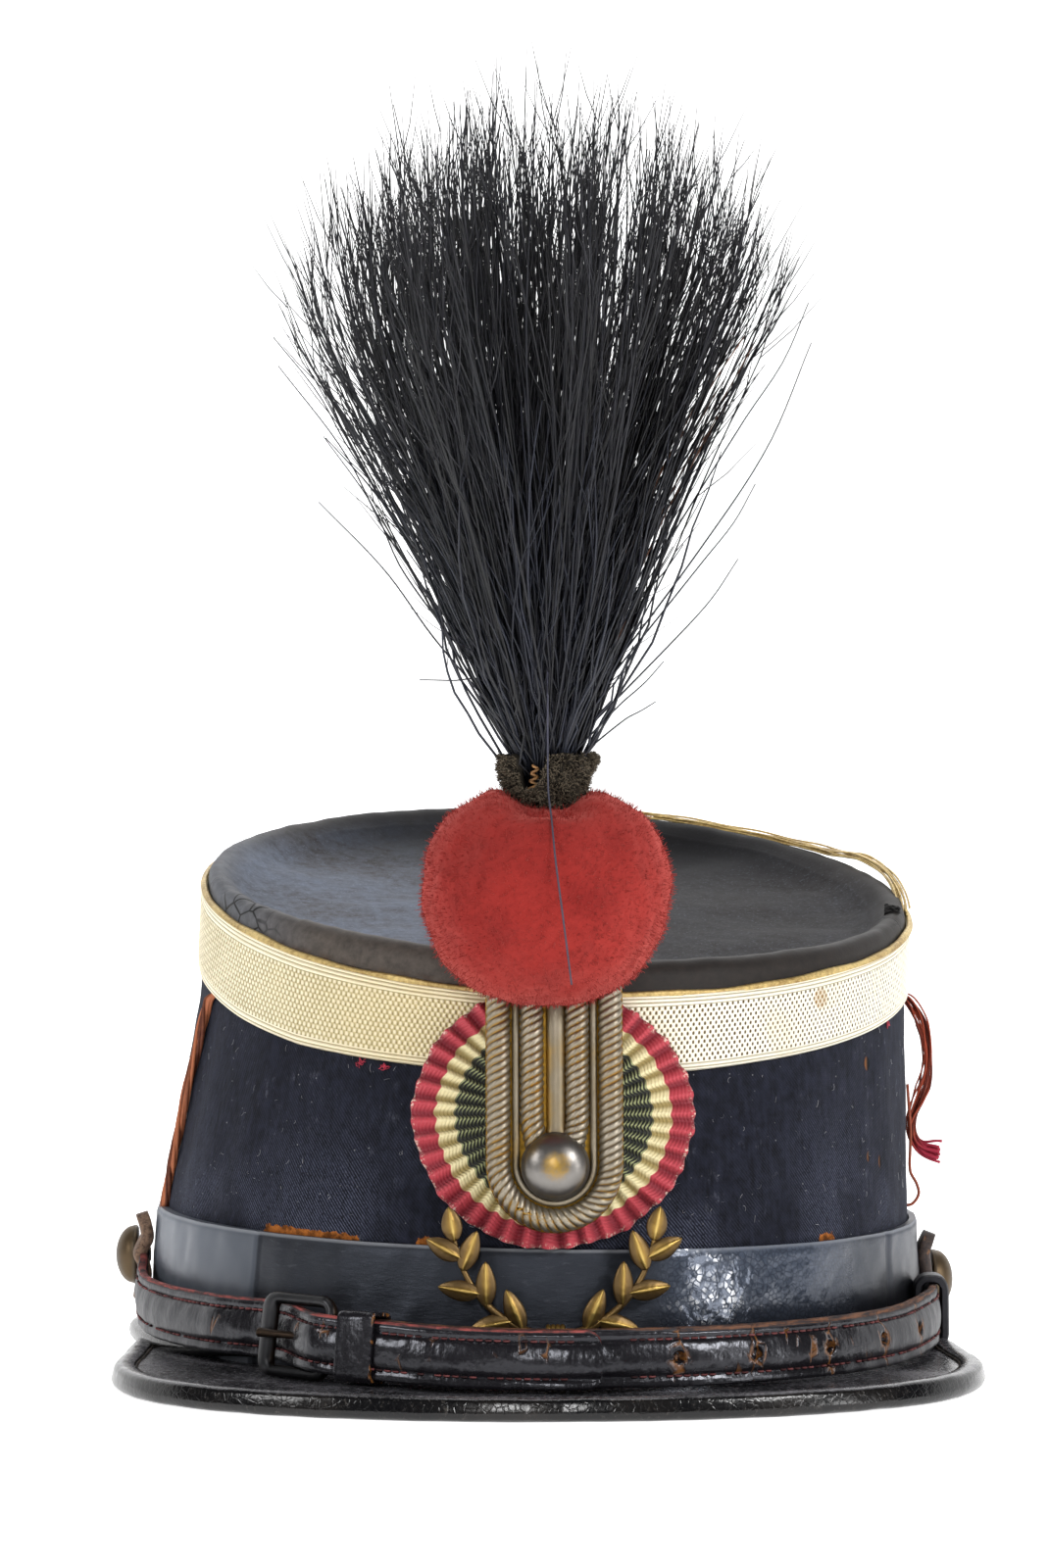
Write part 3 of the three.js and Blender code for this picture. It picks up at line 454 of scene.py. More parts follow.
class Form:
    """Points, faces and marks of one mesh, in millimetres in the hat's frame."""

    def __init__(self) -> None:
        """Start with nothing."""
        self.points: list[Array] = []
        self.faces: list[Array] = []
        self.marks: dict[str, list[tuple[int, Array]]] = {}
        self.count = 0

    def add(self, points: Array, faces: Sequence[Array], marks: Marks | None = None) -> None:
        """Take in points, faces that number them from 0, and values kept on the points."""
        flat = np.asarray(points, float).reshape(-1, 3)
        self.faces.extend(np.asarray(corners, int) + self.count for corners in faces)
        for name, values in (marks or {}).items():
            kept = np.asarray(values, float)
            kept = kept.reshape(len(flat), -1) if kept.size == 3 * len(flat) else kept.reshape(len(flat))
            self.marks.setdefault(name, []).append((self.count, kept))
        self.points.append(flat)
        self.count += len(flat)

    @staticmethod
    def quads(rows: int, columns: int, loop_rows: bool, loop_columns: bool) -> Array:
        """Corner numbers of the faces of a grid.

        Args:
            rows: points down the grid.
            columns: points across it.
            loop_rows: whether the last row joins the first.
            loop_columns: whether the last column joins the first.

        Returns:
            One row of four corners for each face.
        """
        down = np.arange(rows if loop_rows else rows - 1)
        across = np.arange(columns if loop_columns else columns - 1)
        r, c = np.meshgrid(down, across, indexing="ij")
        r2, c2 = (r + 1) % rows, (c + 1) % columns
        corners = [r * columns + c, r2 * columns + c, r2 * columns + c2, r * columns + c2]
        return np.stack(corners, -1).reshape(-1, 4)

    def skin(self, rings: Array, loop: bool = False, marks: Marks | None = None) -> None:
        """Closed skin over a row of closed rings.

        Args:
            rings: n rings of k points.
            loop: whether the last ring joins the first, otherwise both ends are capped.
            marks: values kept on the points.
        """
        n, k, _ = rings.shape
        flat = rings.reshape(-1, 3)
        faces = [self.quads(n, k, loop, True)]
        if not loop:
            faces.append(np.arange(k)[None, :])
            faces.append(np.arange(k)[None, ::-1] + (n - 1) * k)
        middle = flat - flat.mean(0)
        volume = 0.0
        for corners in faces:
            for i in range(1, corners.shape[1] - 1):
                a, b, c = (middle[corners[:, j]] for j in (0, i, i + 1))
                volume += float(np.einsum("ij,ij->", a, np.cross(b, c)))
        if volume < 0:
            faces = [corners[:, ::-1] for corners in faces]
        self.add(flat, faces, marks)

    def tubes(self, paths: Array, radii: Any, sides: int = 5, marks: Marks | None = None) -> None:
        """Many round strands at once, closed at both ends.

        Args:
            paths: n paths of m points.
            radii: a radius for all, or one for each point.
            sides: sides of each strand.
            marks: values for each path, or for each point of each path.
        """
        n, m, _ = paths.shape
        _, side, up = path_frames(paths)
        angle = np.arange(sides) * 2 * np.pi / sides
        ring = side[:, :, None] * np.cos(angle)[:, None] + up[:, :, None] * np.sin(angle)[:, None]
        radius = np.broadcast_to(np.asarray(radii, float), (n, m))
        points = paths[:, :, None] + radius[:, :, None, None] * ring
        one = self.quads(m, sides, False, True)
        starts = np.arange(n) * m * sides
        faces = [(one[None] + starts[:, None, None]).reshape(-1, 4)]
        cap = np.arange(sides)
        faces.append(cap[None, :] + starts[:, None])
        faces.append(cap[None, ::-1] + starts[:, None] + (m - 1) * sides)
        faces = [corners[:, ::-1] for corners in faces]
        kept = {name: np.repeat(v, sides if v.ndim == 2 else m * sides) for name, v in (marks or {}).items()}
        self.add(points, faces, kept)

    def lathe(self, profile: Array, sides: int, place: Array, marks: Marks | None = None) -> None:
        """Solid of revolution from a profile of (radius, rise) that starts and ends near the axis.

        Args:
            profile: places on the outline.
            sides: sides round the axis.
            place: 4 by 4 matrix from the lathe, whose axis is Z, to the hat.
            marks: values for each point of the profile, kept all round.
        """
        angle = np.arange(sides) * 2 * np.pi / sides
        x = profile[:, :1] * np.cos(angle)
        y = profile[:, :1] * np.sin(angle)
        z = np.broadcast_to(profile[:, 1:2], x.shape)
        local = np.stack([x, y, z], -1)
        kept = {name: np.repeat(values, sides, axis=0) for name, values in (marks or {}).items()}
        self.skin(local @ place[:3, :3].T + place[:3, 3], marks=kept)

    def mesh(self, name: str, shift: float) -> bpy.types.Mesh:
        """Blender mesh of the form, in metres in the shared frame.

        Args:
            name: name of the mesh.
            shift: distance in Y from the hat's frame to the shared one.

        Returns:
            The mesh, smooth all over.
        """
        points = (np.concatenate(self.points) + (0.0, shift, 0.0)) * MM
        corners = np.concatenate([face.ravel() for face in self.faces])
        totals = np.concatenate([np.full(len(face), face.shape[1]) for face in self.faces])
        starts = np.concatenate([[0], np.cumsum(totals)[:-1]])
        mesh = bpy.data.meshes.new(name)
        mesh.vertices.add(len(points))
        mesh.vertices.foreach_set("co", points.ravel())
        mesh.loops.add(len(corners))
        mesh.polygons.add(len(totals))
        mesh.polygons.foreach_set("loop_start", starts)
        mesh.loops.foreach_set("vertex_index", corners)
        mesh.update(calc_edges=True)
        mesh.polygons.foreach_set("use_smooth", np.ones(len(totals), bool))
        for key, chunks in self.marks.items():
            wide = chunks[0][1].ndim == 2
            values = np.zeros((len(points), 3) if wide else len(points))
            for start, kept in chunks:
                values[start : start + len(kept)] = kept
            attribute = mesh.attributes.new(key, "FLOAT_VECTOR" if wide else "FLOAT", "POINT")
            attribute.data.foreach_set("vector" if wide else "value", values.ravel())
        mesh.validate()
        return mesh


# The hat's shared shape


@dataclass(frozen=True)
class HatShape:
    """Wall, rim and lower band that the other pieces lie on."""

    shift: float
    # share of the rim's height, half width, half length, centre x, centre y
    sections: Rows = (
        (0.0, 82.6, 99.0, 0.0, 0.0), (0.28, 81.4, 96.6, 0.3, -0.3), (0.55, 79.2, 93.4, 1.9, -0.8),
        (0.78, 77.0, 90.4, 3.6, -1.2), (1.0, 76.5, 87.5, 4.5, -1.5),
    )
    rim_middle: float = 98.9
    rim_pitch: float = 0.185
    rim_roll: float = -0.046
    gap: float = 0.3
    wall_thickness: float = 2.2
    band_outset: float = 1.8
    round_length: float = 1.58
    front_lean: float = 7.0
    front_foot: float = -99.8
    front_curve: float = 67.0

    def rim_plane(self, x: Array, y: Array) -> Array:
        """Height of the sloping plane of the rim."""
        return self.rim_middle + self.rim_roll * x + self.rim_pitch * y

    def rim(self, turn: Any) -> Array:
        """Height of the wall's top at a turn."""
        _, half_width, half_length, centre_x, centre_y = self.sections[-1]
        a = np.radians(turn)
        return self.rim_plane(centre_x + half_width * np.sin(a), centre_y - half_length * np.cos(a))

    def wall(self, turn: Any, height: Any, outset: Any = 0.0) -> Array:
        """Places on the wall.

        Args:
            turn: angle round the hat.
            height: height above the lower edge.
            outset: distance outwards from the cloth.

        Returns:
            An array of places.
        """
        turn, height, outset = np.broadcast_arrays(*(np.asarray(v, float) for v in (turn, height, outset)))
        share = height / self.rim(turn)
        half_width, half_length, centre_x, centre_y = (
            rows_curve(self.sections, i, share) for i in (1, 2, 3, 4)
        )
        a = np.radians(turn)
        x = centre_x + (half_width + outset) * np.sin(a)
        y = centre_y - (half_length + outset) * np.cos(a)
        return np.stack([x, y, height], -1)

    def at_rim(self, turn: Any, outset: Any, rise: Any) -> Array:
        """Places beside the rim, at a rise above its sloping plane."""
        p = self.wall(turn, self.rim(turn), outset)
        p[..., 2] = self.rim_plane(p[..., 0], p[..., 1]) + rise
        return p

    def outwards(self, turn: Any) -> Array:
        """Directions straight out of the lower band."""
        a = np.radians(np.asarray(turn, float))
        _, half_width, half_length, _, _ = self.sections[0]
        x = np.sin(a) / (half_width + self.band_outset)
        y = -np.cos(a) / (half_length + self.band_outset)
        return unit(np.stack([x, y, np.zeros_like(x)], -1))

    def off_band(self, turn: Any, stand_off: Any, height: Any) -> Array:
        """Places at a stand-off from the lower band."""
        turn, stand_off, height = np.broadcast_arrays(
            *(np.asarray(v, float) for v in (turn, stand_off, height))
        )
        foot = self.wall(turn, np.zeros_like(turn), self.band_outset)
        p = foot + self.outwards(turn) * stand_off[..., None]
        p[..., 2] = height
        return p

    def front(self, local: Array) -> Array:
        """Places from the leaning frame of the front wall: X right, Y inwards, Z up the wall."""
        a = math.radians(self.front_lean)
        x, y, z = local[..., 0], local[..., 1], local[..., 2]
        turned = [x, y * math.cos(a) + z * math.sin(a) + self.front_foot, z * math.cos(a) - y * math.sin(a)]
        return np.stack(turned, -1)


@dataclass(frozen=True)
class Finish:
    """A material made of shader nodes."""

    name: str = "finish"
    made: ClassVar[dict[str, Material]] = {}

    def recipe(self) -> Material:
        """Make the material."""
        raise NotImplementedError

    def material(self) -> Material:
        """The material, made once."""
        if self.name not in self.made:
            self.made[self.name] = self.recipe()
        return self.made[self.name]


@dataclass
class SubAssembly:
    """Pieces of the hat that belong together."""

    shape: HatShape

    def put(
        self,
        name: str,
        form: Form,
        finish: Finish,
        slot: Slot,
        nodes: Sequence[str] = (),
        crease: float = 0.0,
    ) -> Piece:
        """Make a piece that rides on the hat.

        Args:
            name: name of the piece.
            form: its mesh.
            finish: its finish.
            slot: the record's slot that the finish belongs to; not used.
            nodes: the solids that it stands for.
            crease: angle in degrees above which an edge is sharp, or 0 for none.

        Returns:
            The piece.
        """
        mesh = form.mesh(name, self.shape.shift)
        mesh.materials.append(finish.material())
        if crease:
            mesh.set_sharp_from_angle(angle=math.radians(crease))
        piece = bpy.data.objects.new(name, mesh)
        bpy.context.scene.collection.objects.link(piece)
        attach(piece, ROOT)
        if nodes:
            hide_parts(*nodes)
        LOG.info("%s: %d points", name, len(mesh.vertices))
        return piece


# Finishes


@dataclass(frozen=True)
class PaleFloor(Finish):
    """Matt white sweep under and behind the hat."""

    name: str = "pale_floor"
    white: str = "#fbfbfb"

    def recipe(self) -> Material:
        """Make the material."""
        recipe = Recipe(self.name)
        at = recipe.place()
        _, back, _ = recipe.split(at)
        cloud = recipe.noise(at, 900.0, 1.0)
        colour = recipe.mix(cloud, self.white, "#f6f6f6")
        seen = back.step(-560.0, -300.0)
        glow = recipe.mix(seen, "#dcdcdc", colour)
        return recipe.surface(colour, 0.9, {"Emission Color": glow, "Emission Strength": 0.85})


@dataclass(frozen=True)
class WoolCloth(Finish):
    """Navy wool twill, rubbed in places, with the board showing at its lower edge."""

    name: str = "navy_wool"
    dark: str = "#0d0e14"
    navy: str = "#20222e"
    rubbed: str = "#565a6c"
    board: str = "#a8632a"
    hole: str = "#6d4524"
    # turn and height of each hole, its half width in degrees, its half height
    holes: Rows = ((57.0, 64.2, 1.1, 1.7), (56.5, 44.8, 0.6, 1.3), (60.5, 43.3, 0.5, 1.6))

    def recipe(self) -> Material:
        """Make the material."""
        recipe = Recipe(self.name)
        at = recipe.place()
        run, height, turn = recipe.split(recipe.mark_vector("cloth"))
        broad = recipe.noise(at, 34.0, 3.0)
        nap = recipe.noise(at, 2.2, 4.0, 0.65)
        grain = recipe.noise(at, 0.5, 2.0)
        streak = recipe.noise(recipe.scaled(at, (1.0, 1.0, 0.14)), 1.3, 4.0, 0.65)
        twill = ((run + height) * (2 * math.pi / 0.82)).sine() * 0.5 + 0.5
        worn = (1.0 - (height - 27.0).step(2.0, 34.0) * 0.85) * broad.step(0.42, 0.66)
        colour = recipe.mix((nap * 0.6 + streak * 0.5).step(0.35, 0.75), self.dark, self.navy)
        rubbing = worn * (twill * grain).step(0.2, 0.55)
        colour = recipe.mix(rubbing * 0.8, colour, self.rubbed)
        dusty = recipe.noise(at, 5.0, 5.0, 0.75).step(0.56, 0.74) * streak.step(0.45, 0.7)
        colour = recipe.mix(dusty * 0.65, colour, "#62646f")
        fleck = (1.0 - recipe.cells(at, 2.1).step(0.04, 0.11)) * recipe.noise(at, 9.0).step(0.42, 0.58)
        colour = recipe.mix(fleck * 0.7, colour, "#8b8c90")
        for spot, level, wide, tall in self.holes:
            far = ((turn - spot) / wide) ** 2.0 + ((height - level) / tall) ** 2.0
            # each hole is brown at its left and painted shade, near black, at its right
            hole_with_painted_shade = recipe.mix((turn - spot).step(-0.5, 0.2), self.hole, "#050404")
            colour = recipe.mix(1.0 - (far + (nap - 0.5)).step(0.55, 0.95), colour, hole_with_painted_shade)
        edge = recipe.mark("board")
        torn = (edge + (recipe.noise(at, 1.6, 4.0, 0.7) - 0.5) * 1.3).step(0.5, 0.6)
        colour = recipe.mix(torn, colour, recipe.mix(nap.step(0.35, 0.65), "#57300f", self.board))
        relief = twill * 0.3 + nap * 0.6 + streak * 0.5 + grain * 0.3
        more = {
            "Sheen Weight": 0.06, "Sheen Roughness": 0.5, "Sheen Tint": "#8f96b0",
            "Specular IOR Level": 0.15, "Normal": recipe.bump(relief, 0.16, 0.8),
        }
        return recipe.surface(colour, 0.92, more)


@dataclass(frozen=True)
class CrownLeather(Finish):
    """Charcoal leather with dust and painted sheen in the dish and dark cracks at the rim."""

    name: str = "crown_leather"
    black: str = "#161617"
    bead: str = "#6a6159"
    left_bead: str = "#74777f"
    dust_and_sheen: str = "#6b7485"
    brown: str = "#4a2d16"

    def recipe(self) -> Material:
        """Make the material."""
        recipe = Recipe(self.name)
        at = recipe.place()
        reach = recipe.mark("reach")
        broad = recipe.noise(at, 30.0, 4.0, 0.6)
        mottle = recipe.noise(at, 2.6, 5.0, 0.7)
        speck = recipe.noise(at, 0.7, 2.0)
        floor = 1.0 - reach.step(0.84, 0.97)
        x, y, _ = recipe.split(at)
        side = 1.0 - x.step(-45.0, 35.0) * 0.5
        back = y.step(42.0, 88.0)
        # dust and painted sheen: lighter bluish patches and specks on the dish floor, more at the left
        dusty = floor * side * (broad * 0.55 + mottle * 0.7).step(0.3, 0.85)
        bead = recipe.mix(x.step(-70.0, -45.0), self.left_bead, self.bead)
        rubbed = recipe.mix(side.step(0.5, 1.0), "#352f2b", bead)
        colour = recipe.mix(mottle, self.black, rubbed)
        dust_and_sheen = recipe.mix(side.step(0.5, 1.0), "#4d4f55", self.dust_and_sheen)
        colour = recipe.mix(dusty * 0.9, colour, dust_and_sheen)
        colour = recipe.mix(floor * side * speck.step(0.56, 0.72) * 0.35, colour, "#8a94a4")
        foot = reach.step(1.001, 1.005) * recipe.noise(at, 4.0, 3.0).step(0.42, 0.65)
        colour = recipe.mix(foot * 0.45, colour, self.brown)
        colour = recipe.mix(back * 0.88, colour, "#0b0b0e")
        net = recipe.cells(recipe.scaled(at, (1.0, 0.6, 1.0)), 4.6, "DISTANCE_TO_EDGE")
        crack = (1.0 - net.step(0.015, 0.07)) * recipe.mark("cracked").step(0.3, 0.7) * broad.step(0.4, 0.55)
        colour = recipe.mix(crack, colour, "#0a0908")
        rough = 0.5 + floor * 0.25 + mottle * 0.12
        relief = mottle * 0.5 + speck * 0.2 - crack * 0.9
        more = {"Specular IOR Level": 0.16, "Normal": recipe.bump(relief, 0.2, 0.7)}
        return recipe.surface(colour, rough, more)


@dataclass(frozen=True)
class GoldLace(Finish):
    """Straw-pale metal lace with gold in the hollows of its weave."""

    name: str = "gold_lace"
    # white: floats painted as lit at the right; shade: painted shade on float ends and between cords
    white: str = "#f1ebda"
    pale: str = "#f8eed2"
    straw: str = "#d3bf86"
    shade: str = "#ab9c6c"
    hollow: str = "#57430f"
    stain: str = "#8f6a22"
    brick: tuple[float, float] = (1.4, 0.97)
    cord_pitch: float = 0.85
    plain_edges: tuple[float, float] = (2.1, 14.4)

    def recipe(self) -> Material:
        """Make the material."""
        recipe = Recipe(self.name)
        at = recipe.place()
        run, rise, turn = recipe.split(recipe.mark_vector("lace"))
        long, tall = self.brick
        row = (rise / tall).whole()
        along = (run * (math.pi / long) + row * (math.pi / 2)).sine().size()
        across = (rise * (math.pi / tall)).sine().size()
        gap = (1.0 - along * 1.3).larger(0.0) * across
        dome = along * (across * 0.6 + 0.4)
        floats = 0.9 - gap + across * 0.1
        cords = (rise * (math.pi / self.cord_pitch)).sine().size() ** 0.5 * 0.9 + 0.1
        low, high = self.plain_edges
        woven = (rise - low).step(-0.05, 0.05) * (1.0 - (rise - high).step(-0.05, 0.05))
        raised = floats * woven + cords * (1.0 - woven)
        broad = recipe.noise(at, 16.0, 3.0)
        fine = recipe.noise(at, 0.45, 2.0)
        rub = (broad - 0.5) * 0.5 + (fine - 0.5) * 0.4
        # left of the front: painted highlight on the middle of each float, painted shade at its ends
        left = recipe.mix((dome + rub * 0.8).step(0.15, 0.95), self.shade, self.pale)
        # right of the front: floats painted white as lit, with gold in the gaps between them
        right = recipe.mix((gap - rub * 0.3).step(0.08, 0.5), self.white, self.hollow)
        lit = turn.step(-15.0, 30.0) * (1.0 - turn.step(115.0, 165.0))
        colour = recipe.mix(lit, left, right)
        # edge cords: painted shade in the grooves between them, painted whiter where lit
        bright = recipe.mix(lit, self.pale, self.white)
        edging = recipe.mix((cords + rub * 0.5).step(0.3, 0.75), self.shade, bright)
        colour = recipe.mix(woven, edging, colour)
        middle = turn.step(-60.0, -25.0) * (1.0 - turn.step(-15.0, 15.0))
        colour = recipe.mix(middle * 0.4 + broad.step(0.5, 0.75) * 0.2, colour, self.straw)
        stained = recipe.mark("stain").step(0.25, 0.6) * (0.4 + gap * 1.6).smaller(1.0)
        colour = recipe.mix(stained, colour, self.stain)
        more = {
            "Metallic": 0.15, "Specular IOR Level": 0.5,
            "Normal": recipe.bump(raised + fine * 0.2, 0.32, 0.9),
        }
        return recipe.surface(colour, 0.5 - raised * 0.1, more)


@dataclass(frozen=True)
class GoldThread(Finish):
    """Darker gold thread of the folded edge of the lace."""

    name: str = "gold_thread"
    light: str = "#dac07e"
    dark: str = "#8c6c33"

    def recipe(self) -> Material:
        """Make the material."""
        recipe = Recipe(self.name)
        at = recipe.place()
        fibre = recipe.noise(at, 0.9, 4.0, 0.6)
        broad = recipe.noise(at, 12.0, 2.0)
        colour = recipe.mix((fibre * 0.7 + broad * 0.5).step(0.35, 0.8), self.dark, self.light)
        more = {"Metallic": 0.35, "Normal": recipe.bump(fibre, 0.12, 0.7)}
        return recipe.surface(colour, 0.45, more)


@dataclass(frozen=True)
class BandLeather(Finish):
    """Black band leather: a smooth left piece painted grey as a reflection, a crackled glossy right one."""

    name: str = "band_leather"
    black: str = "#0b0b0e"
    grey: str = "#626872"

    def recipe(self) -> Material:
        """Make the material."""
        recipe = Recipe(self.name)
        at = recipe.place()
        cloth = recipe.mark_vector("cloth")
        _, height, turn = recipe.split(cloth)
        left = (1.0 - turn.step(-46.6, -46.2)) * turn.step(-128.0, -100.0)
        right = turn.step(11.0, 19.0) * (1.0 - turn.step(38.0, 60.0))
        stretched = recipe.scaled(cloth, (1.0, 4.0, 0.0))
        scratch = recipe.noise(stretched, 5.0, 6.0, 0.75)
        broad = recipe.noise(at, 16.0, 3.0)
        crackle = recipe.cells(at, 1.2, "DISTANCE_TO_EDGE").step(0.0, 0.2)
        colour = recipe.mix(broad, self.black, "#151518")
        colour = recipe.mix(scratch.step(0.56, 0.74) * (1.0 - left) * 0.4, colour, "#55565c")
        # painted reflection: the smooth left piece is painted grey, lighter further left
        colour = recipe.mix(left * (1.0 - turn.step(-95.0, -40.0) * 0.6), colour, self.grey)
        colour = recipe.mix(recipe.mark("top").step(0.972, 0.99) * 0.55, colour, "#8a8c90")
        dents = recipe.noise(at, 2.2, 1.0)
        # painted sheen: bluish light on the upper part of the glossy right piece
        painted_sheen = right * (height - 9.0).step(0.0, 14.0) * (crackle * 0.4 + 0.6)
        colour = recipe.mix(painted_sheen * 0.5, colour, "#5b6475")
        # painted sheen: bluish light towards the top of the piece beyond the seam
        beyond = turn.step(50.0, 60.0) * (1.0 - turn.step(100.0, 120.0))
        colour = recipe.mix(beyond * (height.step(14.0, 32.0) * broad * 0.2), colour, "#6d7994")
        rough = 0.34 - right * 0.24 + scratch * 0.1 + recipe.mark("top").step(0.95, 0.98) * 0.2
        shine = right * (1.0 - turn.step(24.0, 40.0)) * (dents * 0.6 + crackle * 0.25).step(0.46, 0.66)
        worn = scratch * (1.0 - left) * (1.0 - right) * 0.12
        relief = worn + crackle * right * 0.008 + (broad * 0.6 + dents * 0.16) * (right + 0.1)
        more = {
            "Specular IOR Level": 0.5, "Specular Tint": "#d6e0f5", "Coat Weight": shine,
            "Coat Roughness": 0.16, "Coat IOR": 2.2, "Normal": recipe.bump(relief, 1.0, 0.9),
        }
        return recipe.surface(colour, rough, more)


@dataclass(frozen=True)
class PeakLeather(Finish):
    """Glossy black leather of the peak and its rolled edge, with fine scratches, dust and painted sheen on
    top.
    """

    name: str = "peak_leather"
    black: str = "#0b0b0d"
    brown: str = "#26221f"

    def recipe(self) -> Material:
        """Make the material."""
        recipe = Recipe(self.name)
        at = recipe.place()
        broad = recipe.noise(at, 20.0, 4.0)
        fine = recipe.noise(at, 1.2, 5.0, 0.7)
        crackle = recipe.cells(at, 1.7, "DISTANCE_TO_EDGE").step(0.0, 0.1)
        colour = recipe.mix(broad.step(0.4, 0.75) * 0.6, self.black, self.brown)
        dents = recipe.noise(at, 6.0, 3.0)
        colour = recipe.mix(fine.step(0.56, 0.76) * 0.5, colour, "#625d58")
        # dust and painted sheen: surfaces that face upwards are painted lighter grey
        upward = recipe.split(recipe.node("ShaderNodeNewGeometry", {}, {}, "Normal"))[2].step(0.6, 0.95)
        dust_and_sheen = upward * (broad.step(0.32, 0.75) * 0.48 + fine.step(0.42, 0.75) * 0.55)
        colour = recipe.mix(dust_and_sheen, colour, "#75747a")
        grain = recipe.noise(at, 1.3, 1.0)
        rough = 0.08 + fine * 0.16 + broad * 0.06 + dust_and_sheen * 0.2
        relief = grain * 0.04 + crackle * 0.02 + dents * 0.16 + broad * 0.3
        more = {"Specular IOR Level": 0.38, "Normal": recipe.bump(relief, 1.0, 0.8)}
        return recipe.surface(colour, rough, more)


@dataclass(frozen=True)
class StrapLeather(Finish):
    """Black-brown strap leather with a red painted edge and tan cracks."""

    name: str = "strap_leather"
    edge: str = "#9c463f"
    black: str = "#080709"
    grey: str = "#1c1a1e"
    tan: str = "#8a5a2a"

    def recipe(self) -> Material:
        """Make the material."""
        recipe = Recipe(self.name)
        at = recipe.place()
        strap = recipe.mark_vector("strap")
        broad = recipe.noise(at, 12.0, 3.0)
        fine = recipe.noise(at, 1.1, 5.0, 0.7)
        folds = recipe.noise(recipe.scaled(strap, (1.0, 0.16, 0.0)), 1.5, 3.0, 0.6)
        colour = recipe.mix(broad, self.black, self.grey)
        colour = recipe.mix(fine.step(0.66, 0.84) * 0.3, colour, "#5c5a60")
        upright = recipe.scaled(at, (1.0, 1.0, 0.55))
        net = 1.0 - recipe.cells(upright, 2.6, "DISTANCE_TO_EDGE").step(0.02, 0.11)
        zone = recipe.mark("crack") + (recipe.noise(at, 3.0, 3.0) - 0.5) * 0.8
        broken = (net * zone.step(0.3, 0.7)).larger(zone.step(0.86, 0.97))
        colour = recipe.mix(broken, colour, recipe.mix(fine, "#3a1f0c", self.tan))
        hide = recipe.mix(fine.step(0.3, 0.7), "#46342a", "#93765f")
        colour = recipe.mix((recipe.mark("bare") * (0.7 + broad * 0.6)).smaller(1.0), colour, hide)
        edge = recipe.mark("edge")
        layers = recipe.noise(recipe.scaled(strap, (0.12, 1.0, 0.0)), 0.7, 3.0)
        rim = recipe.mix((layers * 0.8 + fine * 0.3).step(0.42, 0.72), "#1d100c", self.edge)
        colour = recipe.mix((edge * (0.2 + fine * 0.7 + broad * 0.6)).step(0.5, 0.8), colour, rim)
        x = recipe.split(at)[0]
        ends = x.step(58.0, 80.0) + (1.0 - x.step(-82.0, -62.0))
        dents = recipe.noise(recipe.scaled(at, (1.0, 1.0, 0.8)), 4.2, 2.0)
        grain = recipe.noise(at, 1.1, 1.0)
        rough = 0.12 + fine * 0.18 + broad * 0.08 + edge * 0.4 + recipe.mark("bare") * 0.3 + ends * 0.22
        relief = grain * 0.07 + folds * 0.08 * (1.0 - edge) - broken * 0.2 + dents * 0.3
        more = {
            "Specular IOR Level": 0.5, "Specular Tint": "#eef0fa",
            "Normal": recipe.bump(relief, 1.0, 0.9),
        }
        return recipe.surface(colour, rough, more)


@dataclass(frozen=True)
class Thread(Finish):
    """Spun thread of one colour, darker and lighter from strand to strand."""

    name: str = "thread"
    dark: str = "#4a1a1a"
    light: str = "#8a3535"
    shine: float = 0.25
    tip: str = ""
    rough: float = 0.7

    def recipe(self) -> Material:
        """Make the material."""
        recipe = Recipe(self.name)
        at = recipe.place()
        share = recipe.mark("shade") * 0.75 + recipe.noise(at, 1.4, 3.0) * 0.35
        colour = recipe.mix(share.step(0.1, 0.95), self.dark, self.light)
        if self.tip:
            colour = recipe.mix(recipe.mark("tip"), colour, self.tip)
        more = {
            "Specular IOR Level": self.shine, "Normal": recipe.bump(recipe.noise(at, 0.35, 2.0), 0.05, 0.5),
        }
        return recipe.surface(colour, self.rough, more)


@dataclass(frozen=True)
class Metal(Finish):
    """Tarnished metal: a bright colour on what stands out, a dark one in the hollows."""

    name: str = "metal"
    bright: str = "#b7b1a6"
    mid: str = "#7b7065"
    dark: str = "#2d2822"
    worn: str = "#a37d35"
    wear: float = 0.3
    rough: float = 0.38

    def recipe(self) -> Material:
        """Make the material."""
        recipe = Recipe(self.name)
        at = recipe.place()
        raised = recipe.mark("raised")
        broad = recipe.noise(at, 9.0, 4.0)
        fine = recipe.noise(at, 0.9, 4.0, 0.65)
        colour = recipe.mix((raised + (fine - 0.5) * 0.4).step(0.0, 0.3), self.dark, self.worn)
        colour = recipe.mix((raised + (broad - 0.5) * 0.7).step(0.4, 0.8), colour, self.mid)
        colour = recipe.mix((raised + (broad - 0.5) * 0.5).step(0.65, 1.1), colour, self.bright)
        show = (recipe.mark("worn") + (broad - 0.5) * 0.8 + (fine - 0.5) * 0.6).step(0.3, 1.1) * self.wear
        colour = recipe.mix(show, colour, self.worn)
        more = {"Metallic": 0.9, "Normal": recipe.bump(fine, 0.06, 0.6)}
        return recipe.surface(colour, self.rough + fine * 0.2 - raised * 0.08, more)


